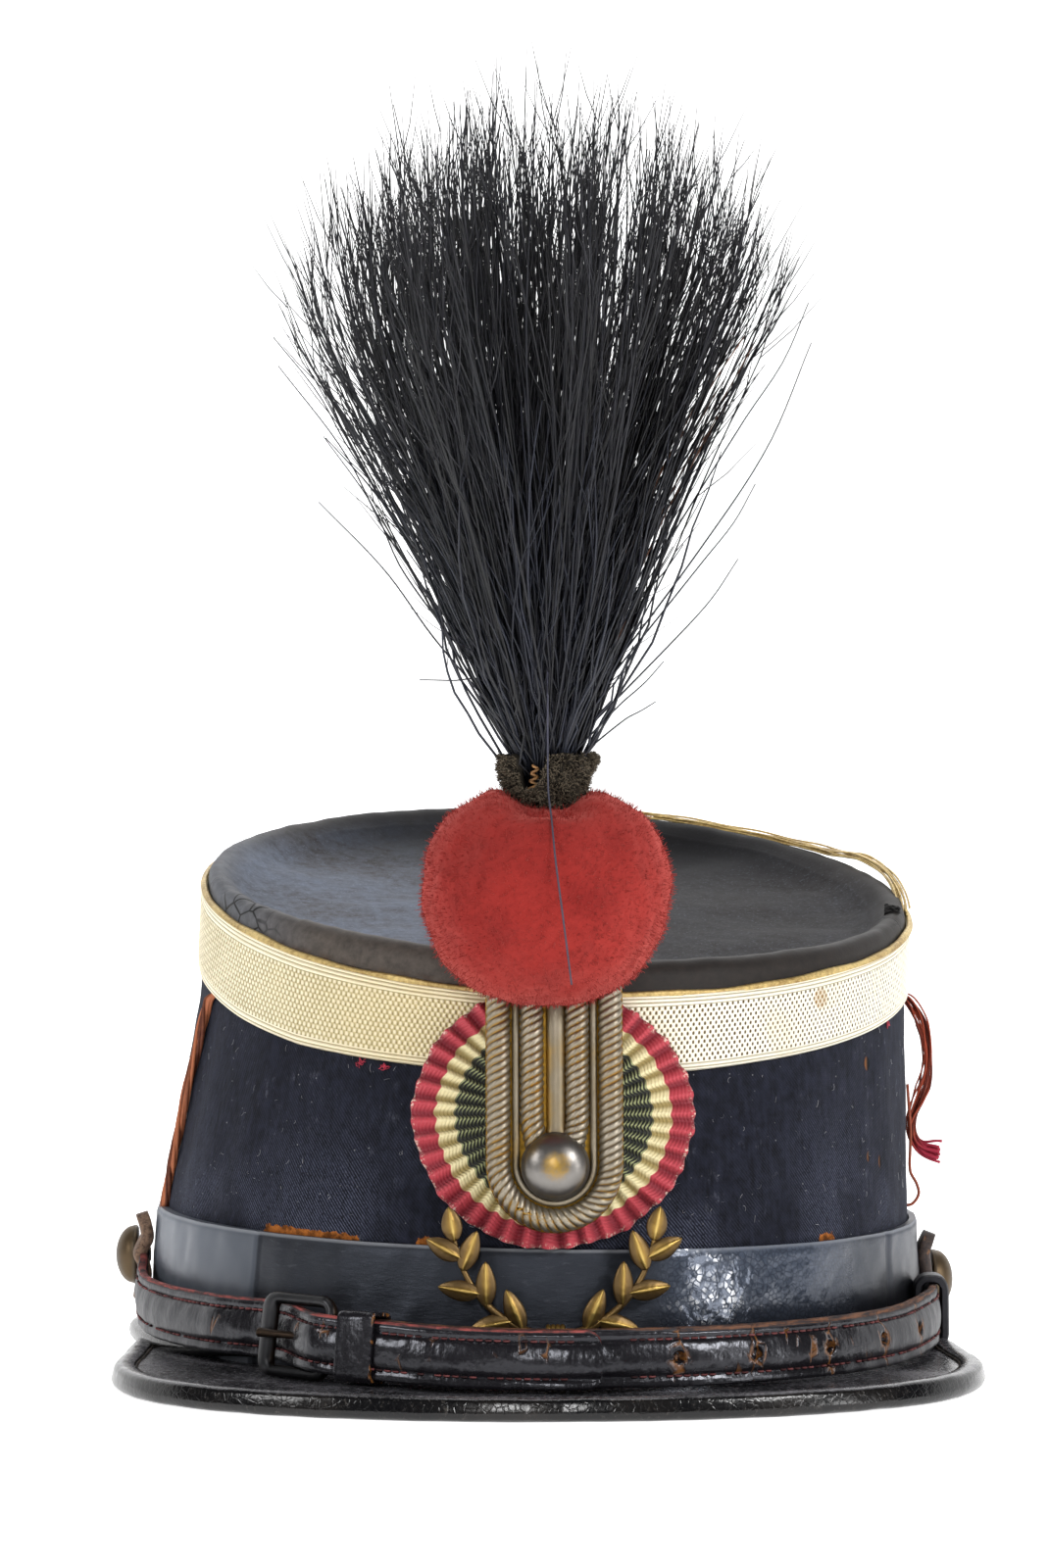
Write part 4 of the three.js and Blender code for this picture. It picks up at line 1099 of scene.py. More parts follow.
@dataclass(frozen=True)
class Ribbon(Finish):
    """Ribbon of the cockade in three rings, ribbed across."""

    name: str = "cockade_ribbon"
    red: str = "#b43c47"
    cream: str = "#e4d7a8"

    def recipe(self) -> Material:
        """Make the material."""
        recipe = Recipe(self.name)
        at = recipe.place()
        ring, fold, _ = recipe.split(recipe.mark_vector("ribbon"))
        fine = recipe.noise(at, 0.8, 4.0, 0.65)
        rib = (ring * (2 * math.pi / 0.75) + (fine - 0.5) * 3.0).sine() * 0.5 + 0.5
        # pleat valleys painted dark as shade and crests painted light as highlight, in all three rings
        inner = recipe.mix((rib * 0.6 + fold * 0.5).step(0.5, 1.05) * 0.85, "#0a0d08", "#a3a877")
        middle = recipe.mix(fold.step(0.0, 0.75), "#93814d", self.cream)
        outer = recipe.mix(fold.step(0.0, 0.8), "#7d1a28", self.red)
        chips = ring.step(27.3, 28.3) * fine.step(0.52, 0.62)
        outer = recipe.mix(chips, outer, "#e3c9b8")
        outer = recipe.mix(fine.step(0.62, 0.8) * 0.35, outer, "#cf6a72")
        colour = recipe.mix((ring - 19.9).step(-0.1, 0.1), inner, middle)
        colour = recipe.mix((ring - 23.7).step(-0.1, 0.1), colour, outer)
        more = {
            "Specular IOR Level": 0.35, "Sheen Weight": 0.15,
            "Normal": recipe.bump(rib * 0.8 + fine * 0.4, 0.2, 0.7),
        }
        return recipe.surface(colour, 0.55, more)


@dataclass(frozen=True)
class ClippedWool(Finish):
    """Saturated red wool in mottled darker patches, with lighter fibres painted as lit."""

    name: str = "red_wool"
    deep: str = "#771c1a"
    red: str = "#8b2521"
    lit: str = "#9c3630"

    def recipe(self) -> Material:
        """Make the material."""
        recipe = Recipe(self.name)
        at = recipe.place()
        broad = recipe.noise(at, 11.0, 4.0, 0.6)
        fine = recipe.noise(at, 1.3, 3.0)
        colour = recipe.mix((broad * 0.8 + fine * 0.4).step(0.4, 0.75), self.deep, self.red)
        colour = recipe.mix((recipe.mark("shade") * fine).step(0.35, 0.6) * 0.6, colour, self.lit)
        more = {
            "Specular IOR Level": 0.1, "Sheen Weight": 0.5, "Sheen Roughness": 0.6,
            "Sheen Tint": "#ff8a80", "Normal": recipe.bump(fine, 0.3, 0.6),
        }
        return recipe.surface(colour, 0.95, more)


# Camera, floor and light


@dataclass(frozen=True)
class SoftBox:
    """One large soft light."""

    name: str
    place: Point
    aim: Point
    size: float
    power: float


@dataclass
class Studio:
    """Camera at the photograph's angle, a pale sweep and soft light."""

    shape: HatShape
    photo_height: float = 1600.0
    focal_pixels: float = 4851.0
    sensor: float = 36.0
    eye: Point = (-39.3, -1049.3, 123.1)
    heading: float = 2.0
    # floor in metres: radius of its bend, distance behind the hat, reach aside and in front, height behind
    bend: float = 0.6
    behind: float = 1.5
    reach: float = 400.0
    wall: float = 4.0
    room_light: float = 0.03
    boxes: tuple[SoftBox, ...] = (
        SoftBox("light_right", (0.95, -1.0, 0.75), (0.0, 0.0, 0.08), 0.3, 11.0),
        SoftBox("light_side", (1.3, -0.88, 0.2), (0.0, 0.0, 0.05), 0.32, 3.0),
        SoftBox("light_left", (-1.1, -0.8, 0.65), (0.0, 0.0, 0.08), 0.4, 6.5),
        SoftBox("light_top", (0.0, -0.15, 1.5), (0.0, 0.0, 0.1), 0.6, 7.0),
        SoftBox("light_front", (-0.1, -1.6, 0.55), (0.0, 0.0, 0.1), 0.18, 4.0),
        SoftBox("light_back", (0.2, 1.4, 1.1), (0.0, 0.0, 0.12), 1.0, 3.0),
    )

    def camera(self) -> Piece:
        """Make the camera and look through it."""
        data = bpy.data.cameras.new("camera")
        data.sensor_width = self.sensor
        data.lens = self.focal_pixels / self.photo_height * self.sensor
        data.clip_start = 0.05
        data.clip_end = 1000.0
        camera = bpy.data.objects.new("camera", data)
        camera.location = [v * MM for v in (self.eye[0], self.eye[1] + self.shape.shift, self.eye[2])]
        camera.rotation_euler = (math.pi / 2, 0.0, -math.radians(self.heading))
        bpy.context.scene.collection.objects.link(camera)
        bpy.context.scene.camera = camera
        return camera

    def sweep(self) -> Piece:
        """Make the floor that curves up behind the hat."""
        line = [(-self.reach, 0.0)]
        for a in np.linspace(0, np.pi / 2, 16):
            line.append((self.behind + self.bend * math.sin(a), self.bend * (1 - math.cos(a))))
        line.append((self.behind + self.bend, self.wall))
        points = np.array([[(x, y, z) for x in (-self.reach, self.reach)] for y, z in line]) / MM
        form = Form()
        form.add(points, [Form.quads(len(line), 2, False, False)[:, ::-1]])
        mesh = form.mesh("floor", 0.0)
        mesh.materials.append(PaleFloor().material())
        floor = bpy.data.objects.new("floor", mesh)
        bpy.context.scene.collection.objects.link(floor)
        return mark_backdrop(floor)

    def lights(self) -> None:
        """Make the soft boxes and the even light of the room."""
        for box in self.boxes:
            data = bpy.data.lights.new(box.name, "AREA")
            data.energy = box.power
            data.size = box.size
            lamp = bpy.data.objects.new(box.name, data)
            lamp.location = box.place
            way = Vector(box.aim) - Vector(box.place)
            lamp.rotation_euler = way.to_track_quat("-Z", "Y").to_euler()
            bpy.context.scene.collection.objects.link(lamp)
        world = bpy.data.worlds.new("room")
        world.use_nodes = True
        room = world.node_tree.nodes["Background"]
        room.inputs["Color"].default_value = (1.0, 1.0, 1.0, 1.0)
        room.inputs["Strength"].default_value = self.room_light
        bpy.context.scene.world = world
        bpy.context.scene.view_settings.view_transform = "Standard"


# Red piping


@dataclass
class Piping(SubAssembly):
    """Worn red piping: a flat braid on the left seam, a loose bundle of threads on the right."""

    route: tuple[Point, ...] = (
        (81.2, 4.0, 76.6), (83.6, 3.8, 74.4), (85.9, 3.5, 70.3), (87.1, 3.2, 65.5), (87.3, 3.0, 61.1),
        (86.7, 2.8, 56.8), (85.3, 2.5, 53.1), (84.0, 2.2, 49.8), (83.6, 1.9, 47.0), (84.3, 1.6, 44.2),
        (86.0, 1.2, 42.4), (89.6, 0.7, 41.3),
    )
    diameter: float = 2.4
    threads: int = 16
    thread_radius: float = 0.2
    # share of the length, spread of the threads
    bunching: Rows = (
        (0.0, 0.6), (0.06, 1.3), (0.2, 2.1), (0.4, 1.3), (0.55, 1.9), (0.7, 1.2), (0.8, 1.2),
        (1.0, 1.8),
    )
    # height, turn
    left_route: Rows = (
        (29.0, -84.0), (46.0, -80.0), (66.0, -76.5), (75.0, -74.8), (78.5, -72.6), (81.0, -70.5),
    )
    left_half_width: float = 2.2
    # loose thin thread below the bundle
    wisp: tuple[Point, ...] = (
        (81.7, -6.0, 57.0), (82.0, -6.0, 52.4), (82.6, -4.0, 47.0), (82.9, -1.0, 42.7),
        (83.2, 1.4, 37.2), (84.6, 1.2, 34.4), (85.0, 1.0, 32.2), (83.6, 0.8, 30.1), (82.0, 0.8, 29.7),
    )

    def loose(self) -> Piece:
        rng = np.random.default_rng(11)
        path = smooth_path(self.route, 70)
        _, side, up = (v[0] for v in path_frames(path[None]))
        along = np.linspace(0, 1, len(path))
        spread = rows_line(self.bunching, 1, along)
        fray = smooth_step(along, 0.84, 1.0)
        strands = []
        for i in range(self.threads):
            angle = 2.4 * i + rng.uniform(1.0, 3.0) * along + 0.6 * np.sin(along * rng.uniform(4, 9) + i)
            reach = (self.diameter / 2 - self.thread_radius) * math.sqrt((i + 0.5) / self.threads)
            swell = 0.9 + 0.25 * np.sin(along * rng.uniform(6, 12) + 2 * i)
            reach = reach * spread * swell + fray * rng.uniform(0, 0.9)
            line = path + side * (reach * np.cos(angle))[:, None] + up * (reach * np.sin(angle))[:, None]
            strands.append(line + fray[:, None] * rng.normal(0, 0.4, 3))
        marks = {
            "shade": rng.uniform(0, 1, self.threads),
            "tip": np.broadcast_to(smooth_step(along, 0.8, 0.95), (self.threads, len(path))),
        }
        form = Form()
        radius = self.thread_radius * (1 + 0.55 * smooth_step(along, 0.78, 0.95))
        form.tubes(np.array(strands), radius[None, :], 6, marks)
        finish = Thread("piping_threads", "#4a160f", "#ad4c34", 0.25, "#a52c42")
        piece = self.put("piping_right", form, finish, Slot.BRAID, ["piping_right"])
        return piece

    def flat(self) -> Piece:
        """Make the flat braid on the left seam."""
        rng = np.random.default_rng(12)
        height = np.linspace(self.left_route[0][0], self.left_route[-1][0], 90)
        turn = rows_curve(self.left_route, 1, height)
        strands = []
        bundles, each = 3, 4
        for i in range(bundles * each):
            wind = 2 * np.pi * (height / 34.0 + (i % bundles) / bundles) + 0.4 * np.sin(height / 6.0)
            inside = 2 * np.pi * (i // bundles) / each + height / 5.0
            wander = 0.12 * np.sin(height / rng.uniform(2.0, 5.0) + rng.uniform(0, 6))
            aside = 0.62 * self.left_half_width * np.cos(wind) + 0.5 * np.cos(inside) + wander
            out = 1.0 + 0.4 * np.sin(wind) + 0.35 * np.sin(inside)
            out = out - (out + 0.25) * smooth_step(height, 76.8, 78.8)
            strands.append(self.shape.wall(turn + np.degrees(aside / 92), height, out))
        form = Form()
        form.tubes(np.array(strands), 0.42, 6, {"shade": rng.uniform(0, 1, bundles * each)})
        finish = Thread("piping_braid", "#4a2216", "#b06a48")
        return self.put("piping_left", form, finish, Slot.BRAID, ["piping_left"])

    def thin_thread(self) -> Piece:
        """Make the thin thread that lies on the cloth below the bundle."""
        form = Form()
        form.tubes(smooth_path(self.wisp, 80)[None], 0.36, 6, {"shade": np.array([0.6])})
        return self.put("piping_wisp", form, Thread("wisp_thread", "#5a231c", "#9a4f38"), Slot.BRAID)


# Cloth wall, leather top, lace and lower band


@dataclass
class Body(SubAssembly):
    """The cloth wall of the hat."""

    columns: int = 420
    rows: int = 60
    # turns between which the board shows at the lower edge
    bare_edges: Rows = ((-47.5, -29.0), (-20.5, -17.5), (43.0, 47.0))
    lint_hairs: int = 190
    fleck_hairs: int = 14
    # turn, height
    red_flecks: Rows = ((-33.0, 66.4), (-29.0, 65.6), (65.0, 71.9))

    def band_top(self, turn: Array) -> Array:
        """Height of the lower band's top edge."""
        return 29.8 - 1.4 * np.sin(np.radians(turn))

    def wall(self) -> Piece:
        """Make the wall with its hollow inside."""
        turn = round_turns(self.columns)[:, None]
        rim = self.shape.rim(turn)
        outer_share = np.linspace(0, 1, self.rows)[None, :]
        height = outer_share * rim
        outer = self.shape.wall(turn, height)
        slack = ripple(outer, 26.0, 5) * 0.22 + ripple(outer, 7.0, 6) * 0.07
        calm = smooth_step(height, 24.0, 34.0) * (1 - smooth_step(height - rim, -20.0, -14.0))
        outer = self.shape.wall(turn, height, slack * calm)
        inner_share = np.linspace(1, 0, 12)[None, :]
        inner = self.shape.wall(turn, inner_share * rim, -self.shape.wall_thickness)
        top = inner[:, 0]
        top[:, 2] = self.shape.rim_plane(top[:, 0], top[:, 1])
        rings = np.concatenate([outer, inner], 1)
        heights = rings[..., 2]
        turns = np.broadcast_to(turn, heights.shape)
        run = turns * self.shape.round_length
        board = np.zeros(heights.shape)
        for low, high in self.bare_edges:
            starts = smooth_step(turns, low - 1.0, low + 1.0)
            ends = smooth_step(turns, high - 1.0, high + 1.0)
            board = np.maximum(board, starts * (1 - ends))
        board = board * (1 - smooth_step(heights - self.band_top(turns), 0.4, 2.4))
        marks = {"cloth": np.stack([run, heights, turns], -1), "board": board}
        form = Form()
        form.skin(rings, loop=True, marks=marks)
        return self.put("body_wall", form, WoolCloth(), Slot.WOOL, ["body_wall"])

    def hairs(self, turn: Array, height: Array, long: float, rng: np.random.Generator) -> Array:
        """Paths of short hairs that lie on the cloth.

        Args:
            turn: where each lies round the hat.
            height: its height.
            long: greatest length.
            rng: source of their directions and bends.

        Returns:
            An array of paths.
        """
        count = len(turn)
        share = np.linspace(-0.5, 0.5, 5)[None, :]
        way = rng.uniform(0, np.pi, count)[:, None] + rng.normal(0, 0.9, count)[:, None] * share
        length = rng.uniform(0.3, 1.0, count)[:, None] * long
        aside = share * length * np.cos(way)
        up = share * length * np.sin(way)
        return self.shape.wall(turn[:, None] + np.degrees(aside / 90.0), height[:, None] + up, 0.22)

    def lint(self) -> None:
        """Make the pale lint and the red flecks on the cloth."""
        rng = np.random.default_rng(7)
        count = self.lint_hairs
        turn = rng.uniform(-88, 88, count)
        paths = self.hairs(turn, rng.uniform(31, 76, count), 1.9, rng)
        form = Form()
        form.tubes(paths, 0.045, 3, {"shade": rng.uniform(0, 1, count)})
        self.put("wool_lint", form, Thread("pale_lint", "#3f414a", "#9a9a9e", 0.2), Slot.WOOL)
        spots = np.repeat(np.array(self.red_flecks), self.fleck_hairs, axis=0)
        turn = spots[:, 0] + rng.normal(0, 0.35, len(spots))
        height = spots[:, 1] + rng.normal(0, 0.4, len(spots))
        form = Form()
        form.tubes(self.hairs(turn, height, 1.5, rng), 0.1, 4, {"shade": rng.uniform(0, 1, len(spots))})
        self.put("red_flecks", form, Thread("red_lint", "#6d1b28", "#bd3f52", 0.2), Slot.BRAID)


@dataclass
class Crown(SubAssembly):
    """The dished leather top with its rounded bead."""

    columns: int = 300
    half_span: float = 80.0
    knot_loops: int = 7
    # reach as a share of the wall's oval, rise above the plane of the rim
    profile: Rows = (
        (0.02, -3.6), (0.3, -3.7), (0.6, -3.4), (0.78, -2.4), (0.85, -0.6), (0.89, 1.7), (0.925, 3.8),
        (0.96, 4.6), (0.985, 3.9), (0.997, 2.3), (1.0, 0.4), (1.006, -1.9),
    )
    under: Rows = ((0.96, 0.35), (0.905, 0.35), (0.86, -2.2), (0.77, -4.7), (0.02, -5.8))

    def top(self) -> Piece:
        """Make the top."""
        line = np.asarray(self.profile)
        steps = run_along(line * (self.half_span, 1.0))
        even = np.concatenate([np.linspace(0, 0.7, 34, endpoint=False), np.linspace(0.7, 1, 36)]) * steps[-1]
        reach = np.concatenate([spline(steps, line[:, 0], even), [row[0] for row in self.under]])
        rise = np.concatenate([spline(steps, line[:, 1], even), [row[1] for row in self.under]])
        turn = np.linspace(0, FULL, self.columns, endpoint=False)
        a = np.radians(turn)
        _, half_width, half_length, centre_x, centre_y = self.shape.sections[-1]
        from_front = np.abs((turn + 180) % FULL - 180)
        narrow = 1 - 0.3 * smooth_step(from_front, 30.0, 75.0) * smooth_step(reach, 0.6, 0.8)[:, None]
        placed = 1 - (1 - reach[:, None]) * narrow
        x = centre_x + half_width * placed * np.sin(a)
        y = centre_y - half_length * placed * np.cos(a)
        flat = 1 - 0.26 * smooth_step(from_front, 30.0, 75.0) - 0.14 * smooth_step(from_front, 80.0, 130.0)
        z = self.shape.rim_plane(x, y) + np.where(rise > 0.5, rise, 0.0)[:, None] * flat
        z = z + np.where(rise > 0.5, 0.0, rise)[:, None]
        rings = np.stack([x, y, z], -1)
        upper = (np.arange(len(reach)) < len(even))[:, None]
        left = bell((turn - 292.0 + 180) % FULL - 180, 22.0)
        right = bell((turn - 75.0 + 180) % FULL - 180, 9.0)
        bead = smooth_step(reach, 0.86, 0.93)[:, None]
        fall = ripple(rings, 40.0, 21) * 0.5 * (1 - bead) + ripple(rings, 9.0, 22) * 0.12
        pucker = np.sin(turn * 1.3 + 3 * np.sin(turn * 0.4)) * (0.3 * left + 0.2 * right) * bead
        rings[..., 2] += np.where(upper, fall + pucker, 0.0)
        reaches = np.broadcast_to(reach[:, None], z.shape)
        cracked = np.broadcast_to((left + 0.6 * right) * smooth_step(reach, 0.8, 0.9)[:, None], z.shape)
        form = Form()
        form.skin(rings, marks={"reach": reaches, "cracked": cracked})
        return self.put("crown_top", form, CrownLeather(), Slot.LEATHER, ["crown_top"])

    def knot(self) -> Piece:
        """Make the knot of black thread at the right end of the rim."""
        rng = np.random.default_rng(23)
        t = np.linspace(0, 1, 60)
        paths = []
        for i in range(self.knot_loops):
            wind = 2 * np.pi * (1.5 * t + i / self.knot_loops)
            turn = 79.0 + 1.1 * np.cos(wind) * (0.6 + 0.5 * t) + rng.normal(0, 0.25)
            out = -2.6 + 1.5 * np.sin(wind + 0.7 * i)
            rise = 3.6 + 0.5 * np.cos(2 * wind + i) + rng.normal(0, 0.2)
            paths.append(self.shape.at_rim(turn, out, rise))
        form = Form()
        form.tubes(np.array(paths), 0.28, 5, {"shade": rng.uniform(0, 1, self.knot_loops)})
        return self.put("rim_knot", form, Thread("knot_thread", "#060606", "#1f1d1d"), Slot.LEATHER)


@dataclass
class Lace(SubAssembly):
    """The woven lace under the rim, with its folded upper edge."""

    width: float = 17.0
    thickness: float = 1.1
    columns: int = 980
    back_columns: int = 220
    fine_turn: float = 106.0
    weave_depth: float = 0.3
    weave_middle: float = 0.6
    edge_thickness: float = 0.35
    run_per_turn: float = 1.52
    # turn, drop of its upper edge and of its lower edge
    drop: Rows = (
        (-180.0, 0.0, 0.0), (-112.0, 0.0, -1.0), (-93.0, 0.0, -2.6), (-86.0, 0.0, -1.3),
        (-78.0, 0.3, 0.8), (-60.0, 1.1, 2.4), (-45.0, 1.8, 2.9), (-25.0, 2.2, 1.7), (-8.0, 2.1, 1.0),
        (10.0, 1.2, 0.2), (30.0, 0.6, -1.0), (50.0, 0.0, -1.6), (75.0, 0.0, -2.1), (95.0, 0.0, -1.6),
        (130.0, 0.0, 0.0), (180.0, 0.0, 0.0),
    )
    # turn, rise of the loose threads above the rim
    loose_rise: Rows = (
        (84.0, 1.2), (92.0, 4.2), (108.0, 6.4), (122.0, 4.4), (135.0, 3.5), (150.0, 3.5), (162.0, 3.6),
        (172.0, 2.6),
    )
    threads: int = 11
    # share of the folded edge's height, outset
    fold_section: Rows = (
        (0.0, 0.35), (0.0, 1.3), (0.25, 1.7), (0.45, 1.35), (0.6, 1.6), (0.8, 1.3), (0.9, 1.3),
        (1.0, 0.5),
    )
    finish: GoldLace = GoldLace()

    def weave(self, run: Array, rise: Array) -> Array:
        """Height of the weave from 0 to 1 over the flat lace."""
        long, tall = self.finish.brick
        low, high = self.finish.plain_edges
        row = np.floor(rise / tall)
        across = np.abs(np.sin(np.pi * rise / tall))
        along = np.abs(np.sin(np.pi * (run / long + 0.5 * row)))
        floats = 0.9 - np.clip(1 - along * 1.3, 0, None) * across + across * 0.1
        cords = 0.1 + 0.9 * np.sqrt(np.abs(np.sin(np.pi * rise / self.finish.cord_pitch)))
        return np.where((rise < low) | (rise > high), cords, floats)

    def drops(self, turn: Array, share: Any) -> Array:
        """How far the lace lies below its even place, from its lower edge, 0, to its upper edge, 1."""
        upper, lower = (rows_line(self.drop, i, turn) for i in (1, 2))
        return lower + (upper - lower) * share

    def turns(self) -> Array:
        """Turns of the columns: fine where the front shows, wider at the back."""
        fine = np.linspace(-self.fine_turn, self.fine_turn, self.columns - self.back_columns)
        wide = np.linspace(self.fine_turn, 180, self.back_columns // 2 + 1)[1:]
        wide[-1] = LAST_TURN
        first = -180 + (180 - self.fine_turn) * np.linspace(0, 1, self.back_columns // 2, endpoint=False)
        return np.concatenate([first, fine, wide])

    def band(self) -> Piece:
        """Make the woven band."""
        turn = self.turns()[:, None]
        lower, upper = self.finish.plain_edges
        parts = (np.linspace(0, lower, 15), np.linspace(lower, upper, 40), np.linspace(upper, self.width, 18))
        rise = np.unique(np.concatenate(parts))[None, :]
        rim = self.shape.rim(turn)
        height = rim - self.width + rise - 0.3 - self.drops(turn, rise / self.width)
        run = turn * self.run_per_turn
        raised = self.weave(run, rise) * np.ones_like(height)
        fine = 1 - smooth_step(np.abs(turn), self.fine_turn - 8.0, self.fine_turn)
        middle = self.weave_middle
        raised = np.where((rise < lower) | (rise > upper), raised, middle + (raised - middle) * fine)
        edge = smooth_step(rise, 0.0, 0.5) * (1 - smooth_step(rise, self.width - 0.4, self.width))
        slack = 1 - 0.6 * smooth_step(turn, 45.0, 75.0) * (1 - smooth_step(turn, 110.0, 140.0))
        thin = self.edge_thickness
        woven = self.weave_depth * (raised - middle) * edge
        out = self.shape.gap + thin + (self.thickness - thin) * edge * slack + woven
        outer = self.shape.wall(turn, height, out)
        inner = self.shape.wall(turn, np.concatenate([height[:, -1:], height[:, :1]], 1), self.shape.gap)
        rings = np.concatenate([outer, inner], 1)
        stain = bell(turn - 42.0, 1.6) * bell(height - 78.8, 2.2)
        stain = np.concatenate([stain, np.zeros((self.columns, 2))], 1)
        rises = np.concatenate([np.broadcast_to(rise, height.shape), np.zeros((self.columns, 2))], 1)
        lace = np.stack([np.broadcast_to(run, rises.shape), rises, np.broadcast_to(turn, rises.shape)], -1)
        form = Form()
        form.skin(rings, loop=True, marks={"lace": lace, "stain": stain})
        return self.put("lace_band", form, self.finish, Slot.LACE, ["lace_band"])

    def fold(self) -> Piece:
        """Make the folded edge of darker thread above the band."""
        turn = np.linspace(-180, 180, 720, endpoint=False)
        wander = 0.25 * np.sin(turn / 5.1) + 0.2 * np.sin(turn / 2.3 + 1.0)
        form = Form()
        rings = []
        for share, out in self.fold_section:
            rise = -0.7 + share * (1.2 + 0.6 * wander) - self.drops(turn, 1.0)
            rings.append(self.shape.at_rim(turn, out, rise))
        form.skin(np.stack(rings, 1), loop=True)
        return self.put("lace_fold", form, GoldThread(), Slot.LACE)

    def loose_threads(self) -> Piece:
        """Make the threads that have come loose along the rim at the back right."""
        rng = np.random.default_rng(31)
        share = np.linspace(0, 1, 110)
        paths = []
        for i in range(self.threads):
            span = 85.0 + rng.uniform(0, 5) + share * rng.uniform(70, 84)
            slack = bell(span - 110.0, 14.0)
            rise = rows_curve(self.loose_rise, 1, span) - rng.uniform(0, 1.4) - slack * rng.uniform(0, 1.0)
            out = -1.2 + 0.22 * i + 0.25 * np.sin(span / rng.uniform(4, 9) + i)
            paths.append(self.shape.at_rim(span, out, rise + 0.15 * np.sin(span / 2.2 + 2 * i)))
        form = Form()
        form.tubes(np.array(paths), 0.24, 5)
        return self.put("lace_threads", form, GoldThread(), Slot.LACE)


@dataclass
class LowerBand(SubAssembly):
    """The black leather band round the foot of the wall."""

    columns: int = 560
    rows: int = 24
    body: Body | None = None
    step_turn: float = -46.4
    seam_turn: float = 60.5

    def band(self) -> Piece:
        """Make the band, with the lapped end at the left and the seam at the right."""
        turn = round_turns(self.columns)[:, None]
        high = self.body.band_top(turn)
        share = np.linspace(0, 1, self.rows)[None, :]
        height = share * high
        lap = 0.55 * (1 - smooth_step(turn, self.step_turn - 0.25, self.step_turn + 0.25))
        lap = lap * smooth_step(turn, -110.0, -100.0)
        beyond = smooth_step(turn, 60.4, 61.0) * (1 - smooth_step(turn, 95.0, 105.0))
        seam = -0.5 * bell(turn - self.seam_turn, 0.5) + 0.25 * beyond
        outer = self.shape.wall(turn, height, self.shape.band_outset)
        uneven = ripple(outer, 14.0, 41) * 0.16 + ripple(outer, 5.0, 42) * 0.05
        edge = -0.35 * smooth_step(share, 0.965, 1.0)
        out = self.shape.band_outset + (lap + seam + uneven + edge) * np.ones_like(height)
        outer = self.shape.wall(turn, height, out)
        inner = self.shape.wall(turn, np.concatenate([high, np.zeros_like(high)], 1), self.shape.gap)
        rings = np.concatenate([outer, inner], 1)
        heights = rings[..., 2]
        turns = np.broadcast_to(turn, heights.shape)
        top = np.concatenate([np.broadcast_to(share, height.shape), np.zeros((self.columns, 2))], 1)
        marks = {"cloth": np.stack([turns * self.shape.round_length, heights, turns], -1), "top": top}
        form = Form()
        form.skin(rings, loop=True, marks=marks)
        return self.put("lower_band", form, BandLeather(), Slot.PATENT, ["lower_band"], crease=50.0)


# Peak


